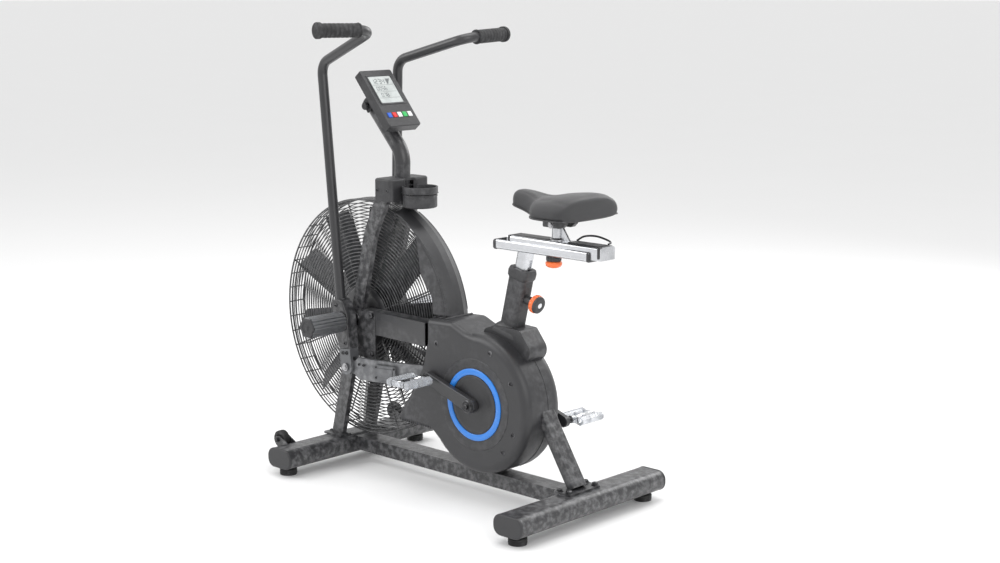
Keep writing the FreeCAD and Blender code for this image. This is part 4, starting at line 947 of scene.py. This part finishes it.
def build_knobs(settings):
    """The two spring pull knobs: an orange body, a black fluted collar and a bright pin end."""
    flutes = settings.sizes.knob_flutes
    tilt = math.radians(13.4)
    pull = Vector(JOINT["post_pin_pull"]["axis"])
    tube = Vector((math.sin(tilt), 0, math.cos(tilt)))
    seat = at(587, 0, 272) + tube * 304 * MM
    bm = bmesh.new()
    lathe(bm, [(6 * MM, 19 * MM), (6 * MM, 46 * MM), (11.5 * MM, 47 * MM), (12 * MM, 49 * MM),
               (12 * MM, 58 * MM)],
          seat, pull, 40)
    shaft = piece("post_knob_shaft", bm, "post_pin", FINISH["bolt"])
    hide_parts("post_knob")
    bm = bmesh.new()
    fluted(bm, [(13 * MM, 57 * MM, 0), (22 * MM, 58 * MM, 0.3), (25 * MM, 61 * MM, 1),
                (25 * MM, 70 * MM, 1),
                (23.6 * MM, 72 * MM, 0.6)], seat, pull, flutes, 1.7 * MM)
    piece("post_knob_ring", bm, "post_pin", FINISH["knob"])
    bm = bmesh.new()
    lathe(bm, [(23.2 * MM, 71.6 * MM), (22.6 * MM, 77 * MM), (20 * MM, 79 * MM), (12 * MM, 79.6 * MM),
               (9 * MM, 78.4 * MM), (8 * MM, 78.2 * MM)], seat, pull, 64)
    piece("post_knob_face", bm, "post_pin", FINISH["plastic"])
    bm = bmesh.new()
    lathe(bm, [(7.6 * MM, 77.6 * MM), (7.2 * MM, 79.6 * MM), (4 * MM, 80.6 * MM),
               (0, 80.8 * MM)], seat, pull, 32)
    piece("post_knob_button", bm, "post_pin", FINISH["chrome"])

    under = at(782, 0, 690)
    bm = bmesh.new()
    fluted(bm, [(8 * MM, 1 * MM, 0), (18 * MM, 2 * MM, 0.4), (20 * MM, 4 * MM, 1), (20 * MM, 14 * MM, 1),
                (18 * MM, 16.5 * MM, 0.4)], under, -Z_WAY, flutes, 1.6 * MM)
    collar = piece("rail_knob_collar", bm, "rail_pin", FINISH["plastic"])
    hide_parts("rail_knob")
    bm = bmesh.new()
    lathe(bm, [(17.6 * MM, 16 * MM), (21.4 * MM, 18.5 * MM), (22 * MM, 22 * MM), (21 * MM, 27 * MM),
               (17.5 * MM, 31 * MM),
               (11 * MM, 33.4 * MM), (0, 34 * MM)], under, -Z_WAY, 72)
    piece("rail_knob_dome", bm, "rail_pin", FINISH["knob"])


def oval_loop(place, half_x, half_y, corner, height):
    outline = rounded([(half_x, half_y, corner), (-half_x, half_y, corner), (-half_x, -half_y, corner),
                       (half_x, -half_y, corner)], 6)
    return [place @ Vector((p.x * MM, p.y * MM, height * MM)) for p in outline]


def build_seat_tube(settings):
    """Lip at the sleeve's mouth and a skirt at its foot."""
    place = Matrix.Translation(at(587, 0, 272)) @ Matrix.Rotation(math.radians(13.4), 4, "Y")
    bm = bmesh.new()
    outside = [oval_loop(place, *row) for row in ((30.2, 24.2, 14, 352), (33.5, 27.5, 15, 358),
                                                  (34, 28, 15, 372),
                                                  (31.5, 25.5, 14, 381), (22.2, 18.2, 12, 381.5),
                                                  (21.8, 17.8, 12, 370))]
    loft(bm, outside + [oval_loop(place, 30.1, 24.1, 14, 370)], caps=False)
    piece("sleeve_lip", bm, "frame", FINISH["plastic"])
    bm = bmesh.new()
    skirt = [oval_loop(place, *row) for row in ((48, 36, 16, 196), (46, 35, 16, 206), (38, 30, 15, 216),
                                                (32, 26, 14, 222), (30.1, 24.1, 14, 223),
                                                (30.1, 24.1, 14, 200))]
    loft(bm, skirt, caps=False)
    piece("sleeve_skirt", bm, "frame", FINISH["cover"])


# ---------------------------------------------------------------- console

def console_matrix():
    """Local x runs down the face, y to the rider's right, z out of the face; the origin is the screen's middle."""
    normal = -Vector(JOINT["up_press"]["axis"])
    down = Y_WAY.cross(normal).normalized()
    low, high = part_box("console_screen")
    origin = (low + high) / 2 + normal * 1.1 * MM
    return Matrix.Translation(origin) @ Matrix((down, Y_WAY, normal)).transposed().to_4x4()


SEGMENTS = {"0": "abcdef", "1": "bc", "2": "abged", "3": "abgcd", "4": "fgbc", "5": "afgcd", "6": "afgedc",
            "7": "abc", "8": "abcdefg", "9": "abcdfg"}


def digit(bm, place, symbol, x, y, height):
    """Seven-segment figure; x is its middle down the face and y its middle across it."""
    half = height / 2
    wide = height * 0.26
    bars = {"a": (-half, 0, 0), "d": (half, 0, 0), "g": (0, 0, 0), "b": (-half / 2, wide, 1),
            "c": (half / 2, wide, 1),
            "f": (-half / 2, -wide, 1), "e": (half / 2, -wide, 1)}
    thick = height * 0.055
    for key in SEGMENTS[symbol]:
        cx, cy, upright = bars[key]
        long_x, long_y = (half / 2 - thick, thick) if upright else (thick, wide - thick)
        outline = [(x + cx + long_x, y + cy + long_y), (x + cx - long_x, y + cy + long_y),
                   (x + cx - long_x, y + cy - long_y), (x + cx + long_x, y + cy - long_y)]
        local_prism(bm, [(a * MM, b * MM) for a, b in outline], 0.0, 0.15 * MM, place)


def build_console(settings):
    """Bezel, display figures, key marks, and the screws and vents of the case back."""
    place = console_matrix()
    bm = bmesh.new()
    frames = [rounded([(h, w, 4), (-h, w, 4), (-h, -w, 4), (h, -w, 4)]) for h, w in ((51, 47),
                                                                                     (45.8, 41.8))]
    loops = [[place @ Vector((p.x * MM, p.y * MM, z * MM)) for p in outline]
             for outline, z in ((frames[0], 0.6), (frames[0], 1.6), (frames[1], 1.6), (frames[1], 0.0))]
    loft(bm, loops, caps=False)
    piece("console_bezel", bm, "console", FINISH["plastic"], bevel=0.4 * MM)

    bm = bmesh.new()
    for row, (figures, height) in enumerate((("1234", 15), ("0056", 12), ("078", 12))):
        x = (-28, -4, 18)[row]
        step = height * 0.82
        for i, symbol in enumerate(figures):
            digit(bm, place, symbol, x, (i - (len(figures) - 1) / 2) * step - 12, height)
    for x in (-16, 7, 28):
        outline = [(x + 0.3, 37), (x - 0.3, 37), (x - 0.3, -37), (x + 0.3, -37)]
        local_prism(bm, [(a * MM, b * MM) for a, b in outline], 0.0, 0.12 * MM, place)
    for bar_index in range(6):
        outline = [(-18 - bar_index * 3.2, 22 + bar_index * 2.4),
                   (-20.2 - bar_index * 3.2, 22 + bar_index * 2.4),
                   (-20.2 - bar_index * 3.2, 18), (-18 - bar_index * 3.2, 18)]
        local_prism(bm, [(a * MM, b * MM) for a, b in outline], 0.0, 0.12 * MM, place)
    piece("console_figures", bm, "console", FINISH["ink"])

    bm = bmesh.new()
    for across in (-48, 48):
        for down in (-62, 118):
            spot = place @ Vector((down * MM, across * MM, -23.4 * MM))
            socket_screw(bm, spot, -(place.to_3x3() @ Z_WAY), 3.6 * MM, 2.0 * MM)
    for i in range(7):
        spot = [(20 + i * 6 + 1.1, 18), (20 + i * 6 - 1.1, 18), (20 + i * 6 - 1.1, -18),
                (20 + i * 6 + 1.1, -18)]
        local_prism(bm, [(a * MM, b * MM) for a, b in spot], -24.6 * MM, -23.3 * MM, place)
    piece("console_back_details", bm, "console", FINISH["plastic"])

    bm = bmesh.new()
    pivot = joint_place("console_tilt")
    for sign in (-1, 1):
        fluted(bm, [(6 * MM, 0, 0), (10.5 * MM, 0.5 * MM, 0.5), (11 * MM, 3 * MM, 1), (11 * MM, 8 * MM, 1),
                    (9 * MM, 10 * MM, 0.3), (3 * MM, 10.6 * MM, 0)], pivot + Y_WAY * (sign * 33 * MM),
               Y_WAY * sign, 12, 1.0 * MM, 72)
    piece("console_pivot_knobs", bm, "console", FINISH["plastic"])


def build_cup_holder(settings):
    """Rim beads on the cup and the clamp screws of its collar."""
    cup = at(289, 0, 0)
    bm = bmesh.new()
    for z, radius in ((825, 49.0), (808.5, 50.2), (801, 48.0)):
        sweep(bm, [cup + Vector((radius * MM * math.cos(t), radius * MM * math.sin(t), z * MM))
                   for t in (2 * math.pi * i / 96 for i in range(96))], 1.3 * MM, 8, closed=True)
    piece("cup_rim_beads", bm, "frame", FINISH["plastic"])
    bm = bmesh.new()
    for sign in (-1, 1):
        for x in (196, 236):
            socket_screw(bm, at(x, sign * 74, 815), Y_WAY * sign, 4.6 * MM, 3.0 * MM)
    piece("collar_screws", bm, "frame", FINISH["bolt"])


# ---------------------------------------------------------------- feet, wheels and bolts

def build_feet(settings):
    """Tread rings and lock nuts on the four levelling feet."""
    bm = bmesh.new()
    nuts = bmesh.new()
    for x in (0, 887):
        for y in (-250, 250):
            foot = at(x, y, 0)
            for z, radius in ((5, 24.1), (10, 24.1), (15, 23.9)):
                sweep(bm, [foot + Vector((radius * MM * math.cos(t), radius * MM * math.sin(t), z * MM))
                           for t in (2 * math.pi * i / 48 for i in range(48))], 0.9 * MM, 8, closed=True)
            lathe(nuts, [(17 * MM, 0), (17 * MM, 4.4 * MM), (15 * MM, 5.6 * MM)], foot + Z_WAY * 18.4 * MM,
                  Z_WAY, 6)
    piece("foot_tread_rings", bm, "frame", FINISH["rubber"])
    piece("foot_lock_nuts", nuts, "frame", FINISH["steel"], bevel=0.6 * MM)


def build_wheels(settings):
    """Transport wheels: grooved tyre on a plain hub, and the axle's bolt heads."""
    for side in SIDES:
        hub = joint_place(side + "_wheel_spin")
        bm = bmesh.new()
        washer(bm, [(15 * MM, -10 * MM), (22 * MM, -11 * MM), (24.4 * MM, -9 * MM), (25 * MM, -6 * MM),
                    (25 * MM, -3.4 * MM), (23.6 * MM, -2.6 * MM), (23.6 * MM, 2.6 * MM),
                    (25 * MM, 3.4 * MM),
                    (25 * MM, 6 * MM), (24.4 * MM, 9 * MM), (22 * MM, 11 * MM),
                    (15 * MM, 10 * MM)], hub, Y_WAY, 72)
        tyre = piece("transport_tyre_" + side, bm, "wheel_" + side, FINISH["rubber"])
        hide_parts(side + "_wheel")
        bm = bmesh.new()
        washer(bm, [(5.2 * MM, -10.5 * MM), (9 * MM, -10.5 * MM), (10 * MM, -5 * MM), (15.4 * MM, -5 * MM),
                    (15.4 * MM, 5 * MM), (10 * MM, 5 * MM), (9 * MM, 10.5 * MM),
                    (5.2 * MM, 10.5 * MM)], hub, Y_WAY, 48)
        piece("transport_hub_" + side, bm, "wheel_" + side, FINISH["plastic"])
        bm = bmesh.new()
        for way in (-1, 1):
            hex_bolt(bm, hub + Y_WAY * (way * 19.6 * MM), Y_WAY * way, 9 * MM, 4 * MM)
        piece("transport_axle_heads_" + side, bm, "frame", FINISH["bolt"])


def build_bolts(settings):
    """Cover screws, frame bolts and the weld beads of the floor frame."""
    bm = bmesh.new()
    for spot in cover_screw_places():
        washer(bm, [(5.2 * MM, 0.02 * MM), (5.2 * MM, 1.0 * MM), (7.4 * MM, 0.9 * MM),
                    (7.8 * MM, 0.02 * MM)], spot,
               -Y_WAY, 32)
        socket_screw(bm, spot, -Y_WAY, 5.0 * MM, 2.6 * MM)
    for x in (852, 884):
        for y in (-52, 52):
            hex_bolt(bm, at(x, y, 85), Z_WAY, 13 * MM, 8 * MM)
    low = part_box("fasteners")[0]
    for y in (-60, 60):
        socket_screw(bm, Vector((low.x + 5 * MM, y * MM, 85 * MM)), Z_WAY, 5 * MM, 4 * MM)
    bolts = piece("bolts", bm, "frame", FINISH["bolt"])
    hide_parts("fasteners")

    bm = bmesh.new()
    plate = 72.4 * MM
    for sign in (-1, 1):
        for x, z in ((78, 352), (78, 456), (164, 346), (164, 456)):
            hex_bolt(bm, at(x, 0, z) + Y_WAY * sign * 72 * MM, Y_WAY * sign, 12 * MM, 6 * MM)
        washer(bm, [(10.2 * MM, 0), (22 * MM, 0), (21 * MM, 3 * MM), (10.2 * MM, 3.4 * MM)],
               FAN + Y_WAY * sign * plate, Y_WAY * sign, 48)
    piece("axle_plate_bolts", bm, "frame", FINISH["bolt"])

    random.seed(7)
    bm = bmesh.new()
    for sign in (-1, 1):
        for x in (-14, 30):
            line = [at(x + random.uniform(-0.4, 0.4), sign * y, 86 + random.uniform(-0.3,
                                                                                    0.3)) for y in range(52,
                                                                                                         69,
                                                                                                         2)]
            sweep(bm, line, 2.2 * MM, 8)
        for x in (54, 839):
            line = [at(x + random.uniform(-0.4, 0.4), sign * 30.5, z) for z in range(40, 77, 3)]
            sweep(bm, line, 2.4 * MM, 8)
    piece("frame_welds", bm, "frame", FINISH["paint"])


# ---------------------------------------------------------------- stage

def build_stage(settings):
    stage = settings.stage
    reach = 90.0
    bm = bmesh.new()
    bmesh.ops.create_circle(bm, cap_ends=True, radius=reach, segments=96)
    mesh = bpy.data.meshes.new("studio_floor")
    bm.to_mesh(mesh)
    bm.free()
    floor = bpy.data.objects.new("studio_floor", mesh)
    bpy.context.scene.collection.objects.link(floor)
    floor.location.z = -0.2 * MM
    material = bpy.data.materials.new("Pale floor")
    material.use_nodes = True
    tree = material.node_tree
    shader = tree.nodes["Principled BSDF"]
    place = tree.nodes.new("ShaderNodeTexCoord").outputs["Object"]
    tint = tuple(stage_part * 0.985 for stage_part in settings.colours.floor) + (1.0,)
    cloud = noise(tree, 1.3, 4.0, place)
    tree.links.new(mix_colour(tree, cloud, tint, tuple(settings.colours.floor) + (1.0,)),
                   shader.inputs["Base Color"])
    shader.inputs["Roughness"].default_value = 0.62
    mesh.materials.append(material)

    world = bpy.data.worlds.new("Soft studio")
    bpy.context.scene.world = world
    world.use_nodes = True
    backdrop = world.node_tree.nodes["Background"]
    backdrop.inputs["Color"].default_value = (1.0, 1.0, 1.0, 1.0)
    backdrop.inputs["Strength"].default_value = 0.92

    target = Vector((0.0, 0.0, 0.55))
    lights = (("key_light", (-2.6, -2.9, 3.4), 2.6, stage.key_power),
              ("fill_light", (3.4, -1.2, 2.2), 2.4, 42.0),
              ("top_light", (0.2, 0.3, 3.6), 2.2, 50.0), ("rim_light", (0.4, 3.4, 2.4), 2.0, 46.0))
    for name, spot, size, power in lights:
        light = bpy.data.lights.new(name, "AREA")
        light.size = size
        light.energy = power
        obj = bpy.data.objects.new(name, light)
        obj.location = spot
        obj.rotation_mode = "QUATERNION"
        obj.rotation_quaternion = (target - Vector(spot)).to_track_quat("-Z", "Y")
        bpy.context.scene.collection.objects.link(obj)

    lens = bpy.data.cameras.new("product_camera")
    lens.lens = stage.lens
    lens.sensor_width = 36.0
    lens.clip_end = 400.0
    camera = bpy.data.objects.new("product_camera", lens)
    back = Vector((math.sin(stage.azimuth) * math.cos(stage.pitch),
                   -math.cos(stage.azimuth) * math.cos(stage.pitch),
                   math.sin(stage.pitch)))
    camera.location = (3.2800, -3.2439, 1.4020)
    camera.rotation_mode = "QUATERNION"
    camera.rotation_quaternion = (-back).to_track_quat("-Z", "Y")
    bpy.context.scene.collection.objects.link(camera)
    bpy.context.scene.camera = camera
    bpy.context.scene.view_settings.view_transform = "Standard"


# ---------------------------------------------------------------- operators

class AIRBIKE_OT_finishes(bpy.types.Operator):
    """Make every finish and give the frame's parts theirs"""
    bl_idname = "air_bike.finishes"
    bl_label = "Finishes"

    def execute(self, context):
        build_finishes(context.scene.air_bike)
        return {"FINISHED"}


class AIRBIKE_OT_fan_guard(bpy.types.Operator):
    """Build the round-wire cage over the fan"""
    bl_idname = "air_bike.fan_guard"
    bl_label = "Fan guard"

    def execute(self, context):
        build_fan_guard(context.scene.air_bike)
        return {"FINISHED"}


class AIRBIKE_OT_fan(bpy.types.Operator):
    """Build the fan's hub caps and blade rivets"""
    bl_idname = "air_bike.fan"
    bl_label = "Fan"

    def execute(self, context):
        build_fan(context.scene.air_bike)
        return {"FINISHED"}


class AIRBIKE_OT_housing(bpy.types.Operator):
    """Build the crank housing's raised panels, ribs and fins"""
    bl_idname = "air_bike.housing"
    bl_label = "Crank housing"

    def execute(self, context):
        build_housing(context.scene.air_bike)
        build_trim(context.scene.air_bike)
        return {"FINISHED"}


class AIRBIKE_OT_shroud(bpy.types.Operator):
    """Build the creases of the mudguard behind the fan"""
    bl_idname = "air_bike.shroud"
    bl_label = "Shroud"

    def execute(self, context):
        build_shroud(context.scene.air_bike)
        return {"FINISHED"}


class AIRBIKE_OT_pedals(bpy.types.Operator):
    """Build the crank bolts and the clear pedals"""
    bl_idname = "air_bike.pedals"
    bl_label = "Cranks and pedals"

    def execute(self, context):
        build_cranks(context.scene.air_bike)
        build_pedals(context.scene.air_bike)
        return {"FINISHED"}


class AIRBIKE_OT_arms(bpy.types.Operator):
    """Build the fittings of the arms, levers, push rods and grips"""
    bl_idname = "air_bike.arms"
    bl_label = "Swinging arms"

    def execute(self, context):
        build_arms(context.scene.air_bike)
        build_push_rods(context.scene.air_bike)
        build_grips(context.scene.air_bike)
        return {"FINISHED"}


class AIRBIKE_OT_foot_pegs(bpy.types.Operator):
    """Build the grooved foot pegs and their caps"""
    bl_idname = "air_bike.foot_pegs"
    bl_label = "Foot pegs"

    def execute(self, context):
        build_foot_pegs(context.scene.air_bike)
        return {"FINISHED"}


class AIRBIKE_OT_saddle(bpy.types.Operator):
    """Build the padded saddle and its piping"""
    bl_idname = "air_bike.saddle"
    bl_label = "Saddle"

    def execute(self, context):
        build_saddle(context.scene.air_bike)
        return {"FINISHED"}


class AIRBIKE_OT_seat(bpy.types.Operator):
    """Build the seat's sleeve lip, rail caps, wire handle and pull knobs"""
    bl_idname = "air_bike.seat"
    bl_label = "Seat fittings"

    def execute(self, context):
        build_seat_tube(context.scene.air_bike)
        build_seat_rails(context.scene.air_bike)
        build_knobs(context.scene.air_bike)
        return {"FINISHED"}


class AIRBIKE_OT_console(bpy.types.Operator):
    """Build the console's bezel, figures and back, and the cup holder's details"""
    bl_idname = "air_bike.console"
    bl_label = "Console and cup holder"

    def execute(self, context):
        build_console(context.scene.air_bike)
        build_cup_holder(context.scene.air_bike)
        return {"FINISHED"}


class AIRBIKE_OT_floor_fittings(bpy.types.Operator):
    """Build the feet, transport wheels, bolts and welds"""
    bl_idname = "air_bike.floor_fittings"
    bl_label = "Feet, wheels and bolts"

    def execute(self, context):
        build_feet(context.scene.air_bike)
        build_wheels(context.scene.air_bike)
        build_bolts(context.scene.air_bike)
        return {"FINISHED"}


class AIRBIKE_OT_stage(bpy.types.Operator):
    """Set up the floor, the soft lights and the camera"""
    bl_idname = "air_bike.stage"
    bl_label = "Stage"

    def execute(self, context):
        build_stage(context.scene.air_bike)
        return {"FINISHED"}


OPERATORS = (AIRBIKE_OT_finishes, AIRBIKE_OT_fan_guard, AIRBIKE_OT_fan, AIRBIKE_OT_housing,
             AIRBIKE_OT_shroud,
             AIRBIKE_OT_pedals, AIRBIKE_OT_arms, AIRBIKE_OT_foot_pegs, AIRBIKE_OT_saddle, AIRBIKE_OT_seat,
             AIRBIKE_OT_console, AIRBIKE_OT_floor_fittings, AIRBIKE_OT_stage)


class AIRBIKE_PT_panel(bpy.types.Panel):
    """Lists the air bike's settings and builders"""
    bl_label = "Air bike"
    bl_idname = "AIRBIKE_PT_panel"
    bl_space_type = "VIEW_3D"
    bl_region_type = "UI"
    bl_category = "Air bike"

    def draw(self, context):
        settings = context.scene.air_bike
        for group in (settings.colours, settings.sizes, settings.stage):
            box = self.layout.box()
            for name in group.__annotations__:
                box.prop(group, name)
        for operator in OPERATORS:
            self.layout.operator(operator.bl_idname)


CLASSES = (AirBikeColours, AirBikeSizes, AirBikeStage, AirBikeSettings, *OPERATORS, AIRBIKE_PT_panel)


def register():
    for cls in CLASSES:
        bpy.utils.register_class(cls)
    bpy.types.Scene.air_bike = bpy.props.PointerProperty(type=AirBikeSettings)


def unregister():
    del bpy.types.Scene.air_bike
    for cls in reversed(CLASSES):
        bpy.utils.unregister_class(cls)


def main():
    register()
    for operator in OPERATORS:
        group, name = operator.bl_idname.split(".")
        getattr(getattr(bpy.ops, group), name)()


if __name__ == "__main__":
    main()
